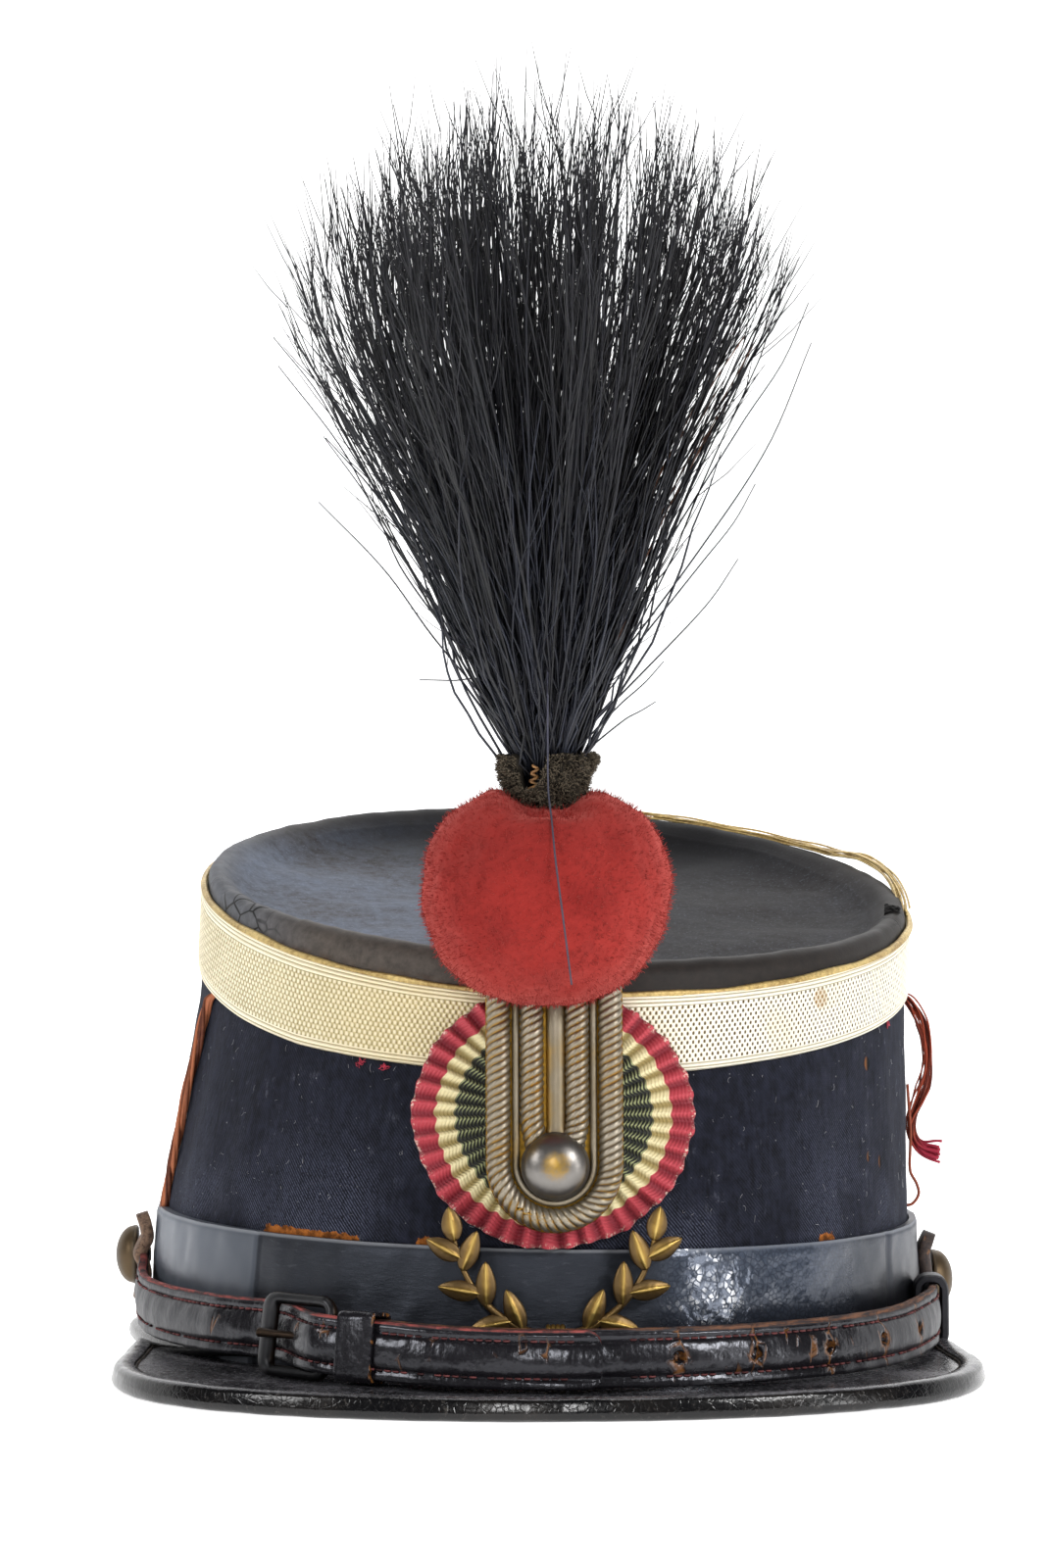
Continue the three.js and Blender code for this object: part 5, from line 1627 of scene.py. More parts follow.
@dataclass
class Peak(SubAssembly):
    """The flat peak with its rolled binding and the welt where it joins the band."""

    middle: float = 2.7
    thickness: float = 2.2
    end_turn: float = 73.0
    binding_reach: float = 2.5
    # turn, reach from the band
    reach: Rows = (
        (0.0, 34.2), (15.0, 36.0), (30.0, 38.5), (40.0, 37.1), (50.0, 29.4), (60.0, 17.0), (70.0, 8.4),
        (76.0, 5.2),
    )
    # out from the plate's edge, up from its middle
    binding: Rows = (
        (-2.3, 1.2), (-2.2, 1.75), (-1.6, 2.05), (0.2, 2.25), (1.3, 2.0), (1.75, 1.6), (1.95, 1.1),
        (2.1, 0.5), (2.24, -0.1), (2.38, -0.7), (2.4, -1.2), (2.1, -1.9), (1.5, -2.4), (0.4, -2.7),
        (-3.2, -2.5), (-3.2, -1.3), (0.2, -1.3), (0.2, 1.15),
    )
    welt_radius: float = 1.6
    welt_height: float = 7.3
    welt_turn: float = 72.0

    def edge(self, turn: Array) -> Array:
        """Places on the edge of the plate."""
        out = rows_curve(self.reach, 1, np.abs(turn)) - self.binding_reach
        return self.shape.off_band(turn, out, self.middle)

    def edge_out(self, turn: Array) -> tuple[Array, Array]:
        """Places on the edge of the plate and directions straight out of it."""
        along = unit(self.edge(turn + 0.2) - self.edge(turn - 0.2))
        return self.edge(turn), np.stack([along[:, 1], -along[:, 0], np.zeros(len(turn))], -1)

    def plate(self) -> Piece:
        """Make the plate, a little wavy."""
        turn = np.linspace(-self.end_turn, self.end_turn, 300)
        outer = self.edge(turn)
        inner = self.shape.off_band(turn, self.shape.gap, self.middle)
        share = np.linspace(0, 1, 18)
        top = inner[:, None] + (outer - inner)[:, None] * share[None, :, None]
        wave = ripple(top, 24.0, 51) * 0.16 * np.sin(np.pi * share)[None, :]
        under = top[:, ::-1].copy()
        top[..., 2] += self.thickness / 2 + wave
        under[..., 2] -= self.thickness / 2
        form = Form()
        form.skin(np.concatenate([top, under], 1))
        return self.put("peak", form, PeakLeather(), Slot.PATENT, ["peak"], crease=50.0)

    def roll(self) -> Piece:
        """Make the rolled binding."""
        turn = np.linspace(-self.end_turn, self.end_turn, 420)
        edge, out = self.edge_out(turn)
        section = np.asarray(self.binding)
        rings = edge[:, None] + out[:, None] * section[None, :, :1]
        rings[..., 2] = self.middle + section[None, :, 1]
        rings[..., 2] += ripple(rings, 8.0, 52) * 0.05
        form = Form()
        form.skin(rings)
        return self.put("peak_binding", form, PeakLeather(), Slot.PATENT, ["peak_binding"], crease=50.0)

    def stitches(self) -> Piece:
        """Make the row of stitches along the inner edge of the binding."""
        turn = np.linspace(-self.end_turn + 1, self.end_turn - 1, 2400)
        edge, out = self.edge_out(turn)
        line = edge - out * 2.75
        run = run_along(line)
        starts = np.arange(1.0, run[-1] - 2.0, 2.1)
        spots = starts[:, None] + np.array([0.0, 0.3, 0.75, 1.2, 1.5])[None, :]
        paths = read_along(run, line, spots)
        paths[..., 2] = self.middle + self.thickness / 2 + np.array([-0.1, 0.22, 0.3, 0.22, -0.1])
        rng = np.random.default_rng(53)
        form = Form()
        form.tubes(paths, 0.26, 5, {"shade": rng.uniform(0, 1, len(paths))})
        finish = Thread("binding_thread", "#0e0d0d", "#3b332c")
        return self.put("peak_stitches", form, finish, Slot.PATENT)

    def welt(self) -> Piece:
        """Make the round welt, thicker and lower at the left where it runs on past the peak."""
        turn = np.linspace(-88.0, self.welt_turn, 300)[:, None]
        angle = np.linspace(0, 2 * np.pi, 14, endpoint=False)[None, :]
        swell = smooth_step(-turn, 45.0, 70.0) * (1 - 0.6 * smooth_step(-turn, 82.0, 88.0))
        radius = self.welt_radius + 0.9 * swell - 0.9 * smooth_step(turn, 60.0, 70.0)
        out = self.shape.gap + radius + radius * np.cos(angle)
        height = self.welt_height - 2.6 * smooth_step(-turn, 40.0, 70.0)
        rings = self.shape.off_band(turn, out, height + radius * np.sin(angle))
        form = Form()
        form.skin(rings)
        return self.put("peak_welt", form, PeakLeather(), Slot.PATENT, ["peak_welt"])


# Chin strap


@dataclass
class ChinStrap(SubAssembly):
    """The buckled chin strap with its loops, stitches and side buttons."""

    width: float = 11.6
    thickness: float = 2.0
    lean: float = 0.15
    # turn, stand-off, height
    route: Rows = (
        (-95.0, 1.4, 20.5), (-90.0, 1.4, 19.0), (-84.0, 1.7, 16.0), (-77.0, 3.3, 13.2),
        (-66.0, 5.4, 12.6), (-45.0, 8.5, 12.7), (-35.0, 10.9, 12.7), (-24.0, 13.6, 11.6),
        (-12.0, 15.8, 10.7), (0.0, 17.0, 10.4), (24.0, 17.4, 10.4), (45.0, 14.0, 10.4),
        (57.0, 10.0, 11.0), (66.0, 6.3, 10.7), (72.0, 3.9, 10.3), (77.0, 2.2, 10.1), (84.0, 1.5, 10.8),
        (90.0, 1.4, 12.5), (95.0, 1.4, 14.0),
    )
    # turn, lift of the left length over the right one
    left_lift: Rows = (
        (-95.0, 0.0), (-48.5, 0.0), (-39.5, -2.7), (-35.0, -2.7), (-28.5, 2.7), (-24.5, 2.7),
        (-21.0, 2.4), (5.0, 2.4),
    )
    # stand-off, height up the bent ends
    left_tab: Rows = (
        (2.7, 11.0), (2.2, 14.0), (1.5, 16.4), (1.9, 18.6), (2.7, 20.6), (1.9, 22.6), (1.1, 24.3),
        (1.3, 26.4), (2.2, 29.4),
    )
    right_tab: Rows = (
        (2.4, 6.0), (2.2, 10.0), (1.5, 14.0), (1.1, 17.6), (0.8, 20.4), (1.6, 23.0), (2.2, 24.6),
    )
    # turn, share of the half width where the worn upper edge of the right length starts
    right_wear: Rows = ((5.0, 0.94), (14.0, 0.82), (40.0, 0.78), (66.0, 0.86), (75.0, 0.94))
    left_wear: float = 0.86
    face_columns: int = 29
    rows_per_turn: float = 4.8
    tab_turn: float = 85.5
    tab_rows: int = 60
    tail_turn: float = 4.5
    right_start: float = -24.5
    end_turn: float = 88.0
    hole_turns: tuple[float, ...] = (13.0, 22.0, 32.0, 41.5, 51.0)
    hole_radius: float = 1.1
    stitch_row: float = 3.6
    stitch_pitch: float = 1.8
    buckle_turn: float = -31.5
    buckle_half_length: float = 8.6
    buckle_half_height: float = 7.3
    buckle_corner: float = 2.6
    buckle_wire: float = 1.2
    keeper_turn: float = -22.0
    slide_turn: float = 70.5
    keeper_length: float = 8.4
    slide_length: float = 7.5
    button_radius: float = 6.5
    iron: Metal = Metal("black_iron", "#3a3a3c", "#161617", "#080808", "#33281f", 0.2, 0.36)

    def tilt(self, turn: Any) -> Array:
        """How far the strap leans back, as a slope: most in front, none at its ends."""
        return self.lean * (1 - smooth_step(np.abs(np.asarray(turn, float)), 50.0, 74.0))

    def point(self, turn: Any, out: Any, up: Any) -> Array:
        """Places on the strap: out from its middle layer and up from its middle line."""
        stand_off = rows_curve(self.route, 1, turn) - self.tilt(turn) * up
        height = rows_curve(self.route, 2, turn)
        return self.shape.off_band(turn, stand_off + out, height + up)

    def frame(self, turn: float) -> Array:
        """Matrix of a frame on the strap: X along it, Y outwards, Z up."""
        along = self.point(turn + 1, 0, 0) - self.point(turn - 1, 0, 0)
        along[2] = 0.0
        along = unit(along)
        outwards = np.array([along[1], -along[0], 0.0])
        slope = float(self.tilt(turn))
        matrix = np.eye(4)
        matrix[:3, 0] = along
        matrix[:3, 1] = unit(outwards + slope * matrix[:3, 2])
        matrix[:3, 2] = np.cross(matrix[:3, 0], matrix[:3, 1])
        matrix[:3, 3] = self.point(turn, 0, 0)
        return matrix

    def length(self, name: str, low: float, high: float, side: Side, seed: int) -> Piece:
        """Make one length of the strap.

        Args:
            name: name of the piece and of the solid that it stands for.
            low: turn where it starts.
            high: turn where it ends.
            side: the side of the hat that it comes from.
            seed: seed of its wear.

        Returns:
            The piece.
        """
        rng = np.random.default_rng(seed)
        count = int((high - low) * self.rows_per_turn)
        turn = np.linspace(low, high, count)
        lift = rows_curve(self.left_lift, 1, turn) if side is Side.LEFT else np.zeros(count)
        run = run_along(self.point(turn, lift, 0.0))
        half, wide = self.thickness / 2, self.width / 2
        from_end = np.minimum(run, run[-1] - run)
        end = 1 - np.sqrt(np.clip(1 - (1 - np.clip(from_end / 3.0, 0, 1)) ** 2, 0, 1))
        reach = wide - 2.6 * end
        face = np.linspace(-1, 1, self.face_columns)
        under = face[::-5]
        turned, rolled = np.array([0.985, 1.0, 0.985]), np.array([0.6, 0.0, -0.6])
        across = np.concatenate([face * 0.93, turned, under * 0.93, -turned])
        out = np.concatenate([np.full(len(face), half), rolled, np.full(len(under), -half), -rolled])
        shown = np.concatenate([np.ones(len(face)), np.zeros(len(out) - len(face))])
        up = across[None, :] * reach[:, None]
        outs = np.broadcast_to(out, up.shape).copy()
        bulge = np.clip(1 - (up / self.stitch_row) ** 2, 0, None) * 0.5
        outs += shown * (0.28 * np.cos(np.pi * np.clip(across, -1, 1) / 2.6)[None, :] - 0.25 + bulge)
        outs -= shown * bell(np.abs(up) - self.stitch_row, 0.45) * 0.32
        crack = np.zeros_like(up)
        if side is Side.RIGHT:
            for spot in self.hole_turns:
                along = np.interp(spot, turn, run)
                away = np.hypot((run - along)[:, None], up)
                outs -= shown * 1.9 * (1 - smooth_step(away, self.hole_radius - 0.3, self.hole_radius + 0.25))
                crack = np.maximum(crack, shown * 0.95 * bell(away, 2.6))
                crack = np.maximum(crack, shown * 0.75 * bell(run - along, 1.4)[:, None])
        for _ in range(int(run[-1] / 12)):
            along = rng.uniform(4, run[-1] - 4)
            patch = ((run[:, None] - along) / rng.uniform(1.0, 3.0)) ** 2
            patch = patch + ((up - rng.uniform(-4, 4)) / rng.uniform(1.5, 4)) ** 2
            crack = np.maximum(crack, shown * rng.uniform(0.35, 0.75) * np.exp(-patch))
        worn_at = np.full(count, self.left_wear)
        if side is Side.RIGHT:
            worn_at = rows_line(self.right_wear, 1, turn)
        edge = smooth_step(across[None, :] - worn_at[:, None], 0.0, 0.05)
        outs -= shown * edge * 0.35
        rings = self.point(turn[:, None], lift[:, None] + outs, up)
        rings += (ripple(rings, 6.0, seed) * 0.08)[..., None] * self.shape.outwards(turn)[:, None]
        strap = np.stack([np.broadcast_to(run[:, None], up.shape), up, np.broadcast_to(shown, up.shape)], -1)
        form = Form()
        form.skin(rings, marks={"strap": strap, "crack": crack, "edge": edge})
        finish = StrapLeather() if side is Side.LEFT else StrapLeather("strap_leather_tan", "#704628")
        line, bare = (self.left_tab, 0.8) if side is Side.LEFT else (self.right_tab, 0.2)
        self.tab(form, side.value * self.tab_turn, line, bare)
        return self.put(name, form, finish, Slot.STRAP, [name], crease=60.0)

    def tab(self, form: Form, turn: float, line: Rows, bare: float) -> None:
        """Add the end of a length, bent up to its button.

        Args:
            form: the mesh that takes it.
            turn: where it is round the hat.
            line: stand-off and height down its middle.
            bare: how far its black has worn off.
        """
        count = self.tab_rows
        curve = smooth_path([(stand_off, 0.0, height) for stand_off, height in line], count)
        along = unit(np.gradient(curve, axis=0))
        normal = np.stack([along[:, 2], np.zeros(count), -along[:, 0]], -1)
        wide = self.width / 2 - 0.6
        across = np.array([-0.98, -0.9, -0.5, 0.0, 0.5, 0.9, 0.98, 1.0, 0.98, 0.9, 0.0, -0.9, -0.98, -1.0])
        out = np.array([0.9, 1.3, 1.4, 1.45, 1.4, 1.3, 0.9, 0.0, -0.9, -1.3, -1.3, -1.3, -0.9, 0.0])
        end = np.clip((count - np.arange(count)) / 9.0, 0.05, 1) ** 0.5
        flat = curve[:, None] + normal[:, None] * out[None, :, None]
        aside = across[None, :] * wide * end[:, None]
        spread = np.degrees(aside / 99.0)
        rings = self.shape.off_band(turn + spread, flat[..., 0], flat[..., 2])
        edge = np.broadcast_to(0.33 * smooth_step(np.abs(across), 0.93, 0.98), rings.shape[:2])
        strap = np.stack([flat[..., 2], aside, np.ones(aside.shape)], -1)
        crack = np.clip(ripple(rings, 4.0, 66) * 0.5, 0, 0.7)
        worn = np.full(crack.shape, bare)
        form.skin(rings, marks={"strap": strap, "crack": crack, "edge": edge, "bare": worn})

    def stitches(self) -> Piece:
        """Make both rows of stitches on both lengths."""
        paths = []
        spans = ((-82.0, self.tail_turn - 2, Side.LEFT), (self.tail_turn + 3, 82.0, Side.RIGHT))
        for low, high, side in spans:
            turn = np.linspace(low, high, 1500)
            lift = rows_curve(self.left_lift, 1, turn) if side is Side.LEFT else np.zeros(len(turn))
            for row in (-self.stitch_row, self.stitch_row):
                line = self.point(turn, lift + self.thickness / 2, row)
                out = self.shape.outwards(turn)
                run = run_along(line)
                starts = np.arange(0.5, run[-1] - 2, self.stitch_pitch)
                spots = starts[:, None] + np.array([0.0, 0.2, 0.6, 1.0, 1.2])[None, :]
                bow = np.array([-0.35, 0.0, 0.08, 0.0, -0.35])
                paths.append(read_along(run, line, spots) + read_along(run, out, spots) * bow[None, :, None])
        joined = np.concatenate(paths)
        rng = np.random.default_rng(61)
        kept = joined[rng.uniform(size=len(joined)) > 0.1]
        form = Form()
        form.tubes(kept, 0.21, 5, {"shade": rng.uniform(0, 1, len(kept))})
        finish = Thread("strap_thread", "#261214", "#744040")
        return self.put("strap_stitches", form, finish, Slot.STRAP)

    def loop(
        self, name: str, turn: float, length: float, low: float, high: float, wall: float, seed: int
    ) -> Piece:
        """Make a leather loop round the strap.

        Args:
            name: name of the piece and of the solid that it stands for.
            turn: where it is.
            length: how far it reaches along the strap.
            low: inner face of the lowest layer in it.
            high: outer face of the highest layer in it.
            wall: thickness of its leather.
            seed: seed of its unevenness.

        Returns:
            The piece.
        """
        half_up = self.width / 2 + self.shape.gap + wall / 2
        low, high = low - 0.45 - wall / 2, high + 0.45 + wall / 2
        corner = 0.3 + 1.1 * wall
        rows = round_box((-half_up, low), (half_up, high), corner, 8)
        lengths = np.linspace(-1, 1, 15) * length / 2
        outside = np.stack([lengths, np.full(15, 0.5)], -1)
        outside[[0, -1], 1] = 0.3
        section = np.concatenate([outside, outside[::-1] * (1, -1)])
        local = np.zeros((len(rows), len(section), 3))
        local[..., 0] = section[None, :, 0]
        local[..., 1] = rows[:, None, 1] + rows[:, None, 3] * section[None, :, 1] * wall
        local[..., 2] = rows[:, None, 0] + rows[:, None, 2] * section[None, :, 1] * wall
        frame = self.frame(turn)
        rings = local @ frame[:3, :3].T + frame[:3, 3]
        bumps = ripple(rings, 4.0, seed) * 0.1
        rings = rings + (frame[:3, 1] * bumps[..., None])
        strap = np.zeros(rings.shape)
        strap[..., 0] = local[..., 0]
        strap[..., 1] = local[..., 2]
        crack = np.clip(ripple(rings * (1.0, 1.0, 2.5), 3.0, seed + 1) - 1.1, 0, 1)
        crack = np.maximum(crack, 0.75 * smooth_step(local[..., 0] - length / 2, -0.45, -0.05))
        form = Form()
        form.skin(rings, loop=True, marks={"strap": strap, "crack": crack, "edge": np.zeros(rings.shape[:2])})
        return self.put(name, form, StrapLeather(), Slot.STRAP, [name], crease=50.0)

    def buckle(self) -> Piece:
        """Make the iron buckle, with a broad bar at its left."""
        half_length, half_height = self.buckle_half_length, self.buckle_half_height
        path = round_box((-half_length, -half_height), (half_length, half_height), self.buckle_corner, 12)
        angle = np.linspace(0, 2 * np.pi, 16, endpoint=False)
        broad = 1.0 + 0.75 * smooth_step(-path[:, 0], half_length - 2.5, half_length)
        along = self.buckle_wire * broad[:, None] * np.cos(angle)[None, :]
        local = np.zeros((len(path), 16, 3))
        local[..., 0] = path[:, None, 0] + path[:, None, 2] * along
        local[..., 1] = self.buckle_wire * np.sin(angle)[None, :] * np.ones((len(path), 1))
        local[..., 2] = path[:, None, 1] + path[:, None, 3] * along
        frame = self.frame(self.buckle_turn)
        rings = local @ frame[:3, :3].T + frame[:3, 3]
        rings += (ripple(rings, 3.0, 71) * 0.08)[..., None] * frame[:3, 1]
        raised = np.broadcast_to(0.5 + 0.5 * np.sin(angle), rings.shape[:2])
        form = Form()
        form.skin(rings, loop=True, marks={"raised": raised})
        return self.put("buckle_frame", form, self.iron, Slot.IRON, ["buckle_frame"])

    def tongue(self) -> Piece:
        """Make the buckle's tongue."""
        path = smooth_path([(6.4, 3.2, 0.0), (1.0, 0.9, 0.0), (-4.0, 1.9, 0.0), (-8.9, 2.5, 0.0)], 40)
        frame = self.frame(self.buckle_turn)
        placed = path @ frame[:3, :3].T + frame[:3, 3]
        radius = np.interp(np.linspace(0, 1, 40), [0, 0.06, 0.8, 1.0], [0.3, 0.6, 0.85, 1.0])
        form = Form()
        form.tubes(placed[None], radius[None], 10, {"raised": np.array([0.25])})
        return self.put("buckle_tongue", form, self.iron, Slot.IRON, ["buckle_tongue"])

    def button(self, name: str, turn: float, height: float) -> Piece:
        """Make a domed side button on its shank.

        Args:
            name: name of the piece and of the solid that it stands for.
            turn: where it is round the hat.
            height: its height.

        Returns:
            The piece.
        """
        out = self.shape.outwards(turn)
        matrix = np.eye(4)
        matrix[:3, 0] = np.cross((0, 0, 1), out)
        matrix[:3, 1] = (0, 0, 1)
        matrix[:3, 2] = out
        matrix[:3, 3] = self.shape.off_band(turn, self.shape.gap, height)
        r = self.button_radius
        dome = np.radians(np.linspace(4, 86, 22))
        rows = [(0.05, 0.0), (1.5, 0.0), (1.5, 2.7)]
        rows += [(r * 0.9, 2.7), (r * 0.98, 3.0), (r, 3.4), (r * 0.985, 3.7)]
        rows += [(r * 0.97 * math.cos(a), 3.75 + r * 0.6 * math.sin(a)) for a in dome]
        profile = np.asarray(rows)
        raised = np.interp(profile[:, 0] / r, [0, 0.6, 0.95, 1.0], [0.9, 0.6, 0.35, 0.7])
        form = Form()
        form.lathe(profile, 48, matrix, {"raised": raised})
        finish = Metal("button_brass", "#6e6355", "#4a4238", "#1a1510", "#5c4d3a", 0.35, 0.42)
        return self.put(name, form, finish, Slot.BRASS, [name], crease=40.0)


# Front ornaments


@dataclass
class Cockade(SubAssembly):
    """The pleated ribbon cockade in three rings."""

    height: float = 56.4
    radius: float = 28.4
    squash: float = 0.925
    pleats: int = 42
    out: float = 3.9
    thickness: float = 0.7
    # inner and outer radius of each ring of ribbon, points across it
    rings: tuple[tuple[float, float, int], ...] = ((5.5, 19.7, 12), (19.95, 23.5, 7), (23.75, 28.4, 10))

    def rosette(self) -> Piece:
        """Make the pleated ribbon."""
        around = self.pleats * 12
        angle = np.linspace(0, 2 * np.pi, around, endpoint=False)[:, None]
        ring = np.concatenate([np.linspace(low, high, count) for low, high, count in self.rings])[None, :]
        skew = 0.35 * np.sin(self.pleats * angle)
        way = np.stack([np.cos(angle), np.sin(angle), 0 * angle], -1)
        phase = self.pleats * angle + skew + 0.25 * ripple(way * 30, 9.0, 81)
        fold = np.sin(phase) * 0.5 + 0.5
        deep = np.interp(ring, [5.5, 17.0, 23.0, self.radius], [0.2, 0.5, 0.75, 1.0])
        rim = way * self.radius
        deep = deep * np.clip(1 + 0.3 * ripple(rim, 7.0, 82), 0.4, 1.5)
        layer = 0.7 * (1 - smooth_step(ring, 19.6, 20.0)) + 0.45 * (1 - smooth_step(ring, 23.4, 23.8))
        reach = ring * (1 + 0.005 * np.sin(phase) * smooth_step(ring, 24, self.radius))
        uneven = 0.008 * ripple(rim, 10.0, 83) * smooth_step(ring, 18, 28)
        wobble = 1 + 0.01 * np.sin(3 * angle + 1.0) + uneven
        x = reach * wobble * np.cos(angle)
        z = self.height + self.squash * reach * wobble * np.sin(angle)
        bend = 0.7 * x**2 / (2 * self.shape.front_curve)
        out = self.out + (2 * fold - 1) * deep + layer - 0.5
        front = np.stack([x, bend - out, z], -1)
        back = front[:, ::-1].copy()
        back[..., 1] += self.thickness
        rings = self.shape.front(np.concatenate([front, back], 1))
        scallop = ring + 0.3 * np.sin(phase + 0.6)
        marks = np.stack([scallop * np.ones_like(x), fold * np.ones_like(x), np.zeros_like(x)], -1)
        marks = np.concatenate([marks, marks[:, ::-1]], 1)
        form = Form()
        form.skin(rings, loop=True, marks={"ribbon": marks})
        return self.put("cockade", form, Ribbon(), Slot.RIBBON, ["cockade"])


@dataclass
class LoopPlate(SubAssembly):
    """The metal loop plate: twisted ropes and beads on a sheet, with a domed button."""

    half_width: float = 13.7
    top: float = 83.5
    bottom: float = 32.9
    back: float = 7.7
    thickness: float = 1.2
    rope_inset: float = 2.5
    rope_centre: float = 1.5
    strand_radius: float = 0.95
    strands: int = 4
    strand_step: float = 1.55
    inner_x: float = 4.55
    bead_x: float = 7.75
    bead_radius: float = 0.75
    bar_half_width: float = 2.0
    bar_rise: float = 1.5
    button_height: float = 46.1
    button_radius: float = 6.85

    def route(self, half_width: float, top: float, foot: float, count: int) -> Array:
        """Places down one side of a loop, round its foot and up the other side."""
        centre = foot + half_width
        straight = top - centre
        total = 2 * straight + math.pi * half_width
        run = np.linspace(0, total, count)
        angle = np.pi + np.clip(run - straight, 0, math.pi * half_width) / half_width
        x = half_width * np.cos(angle)
        z = centre + half_width * np.sin(angle)
        z = z + np.clip(straight - run, 0, None) + np.clip(run - straight - math.pi * half_width, 0, None)
        return np.stack([x, np.zeros(count), z], -1)

    def rope(self, form: Form, path: Array) -> None:
        """Add a rope of twisted strands along a path on the plate's face."""
        run = run_along(path)
        along = unit(np.gradient(path, axis=0))
        across = np.stack([along[:, 2], np.zeros(len(path)), -along[:, 0]], -1)
        lead = self.strands * self.strand_step
        lines = []
        for i in range(self.strands):
            angle = -2 * np.pi * (run / lead + i / self.strands)
            line = path + across * (self.rope_centre * np.cos(angle))[:, None]
            line[:, 1] -= self.rope_centre * np.sin(angle)
            lines.append(line)
        face = self.back + self.thickness
        placed = np.array(lines)
        placed[..., 1] -= face + 0.3
        start = form.count
        form.tubes(self.shape.front(placed), self.strand_radius, 8)
        local = form.points[-1]
        centre = self.shape.front(path - (0, face + 0.3, 0))
        nearest = np.repeat(centre[None, :, None], self.strands, 0).repeat(8, 2).reshape(-1, 3)
        reach = np.linalg.norm(local - nearest, axis=1)
        raised = smooth_step(reach, self.rope_centre + 0.25, self.rope_centre + self.strand_radius + 0.1)
        form.marks.setdefault("raised", []).append((start, raised))

    def plate(self) -> Piece:
        """Make the sheet with its ropes, beads and middle rod."""
        form = Form()
        outline = self.route(self.half_width, self.top, self.bottom, 120)
        inset = self.route(self.half_width - 0.3, self.top - 0.2, self.bottom + 0.3, 120)
        rings = []
        for line, share in ((outline, 0.0), (outline, 0.7), (inset, 1.0)):
            ring = line.copy()
            ring[:, 1] = -self.back - self.thickness * share
            rings.append(ring)
        sheet = self.shape.front(np.array(rings))
        form.skin(sheet, marks={"raised": np.full(sheet.shape[:2], 0.13)})
        face = self.back + self.thickness
        inside = self.half_width - self.rope_inset
        self.rope(form, self.route(inside, self.top - 0.4, self.bottom + self.rope_inset, 420))
        foot = self.button_height + 3.5
        for x in (-self.inner_x, self.inner_x):
            height = np.linspace(self.top - 0.4, foot, 160)
            bow = -math.copysign(0.9, x) * smooth_step(-height, -foot - 6, -foot)
            self.rope(form, np.stack([x + bow, np.zeros(160), height], -1))
        bead = self.route(self.bead_x, self.top - 0.3, self.bottom + self.half_width - self.bead_x, 160)
        bead[:, 1] = -face - 0.25
        form.tubes(self.shape.front(bead)[None], self.bead_radius, 8, {"raised": np.array([0.8])})
        angle = np.linspace(0, np.pi, 14)[None, :]
        height = np.linspace(self.top - 0.3, foot + 1.5, 60)[:, None]
        flare = self.bar_half_width + 0.7 * smooth_step(-height, -foot - 4.5, -foot - 1.5)
        out = face - 0.2 + self.bar_rise * np.sin(angle)
        bar = np.stack([0.3 + flare * np.cos(angle), -out + 0 * height, height + 0 * angle], -1)
        raised = np.broadcast_to(0.4 + 0.4 * np.sin(angle), bar.shape[:2])
        form.skin(self.shape.front(bar), marks={"raised": raised})
        finish = Metal("silvered_brass", "#a39b8d", "#7a6e58", "#5c4510", "#b58b36", 0.62, 0.42)
        return self.put("loop_plate", form, finish, Slot.SILVERED, ["loop_plate"], crease=55.0)

    def button(self) -> Piece:
        """Make the domed button at the foot of the inner ropes."""
        a = math.radians(self.shape.front_lean)
        matrix = np.eye(4)
        matrix[:3, 1] = (0, math.sin(a), math.cos(a))
        matrix[:3, 2] = (0, -math.cos(a), math.sin(a))
        foot = np.array([0.0, -(self.back + self.thickness + self.shape.gap), self.button_height])
        matrix[:3, 3] = self.shape.front(foot)
        r = self.button_radius
        dome = np.radians(np.linspace(6, 87, 26))
        rows = [(0.05, 0.0), (1.5, 0.0), (1.5, 0.8), (r * 0.93, 0.8), (r, 1.2), (r, 1.7), (r * 0.97, 2.0)]
        rows += [(r * 0.955 * math.cos(t), 1.9 + r * 0.56 * math.sin(t)) for t in dome]
        profile = np.asarray(rows)
        raised = np.interp(profile[:, 0] / r, [0, 0.5, 0.9, 1.0], [0.9, 0.9, 0.7, 0.9])
        worn = np.interp(profile[:, 0] / r, [0, 0.3, 0.62, 1.0], [1.0, 0.8, 0.05, -0.3])
        form = Form()
        form.lathe(profile, 56, matrix, {"raised": raised, "worn": worn})
        finish = Metal("button_silvered", "#8b8884", "#6b6763", "#2b251f", "#a3823c", 1.0, 0.32)
        return self.put("loop_button", form, finish, Slot.BRASS, ["loop_button"], crease=40.0)


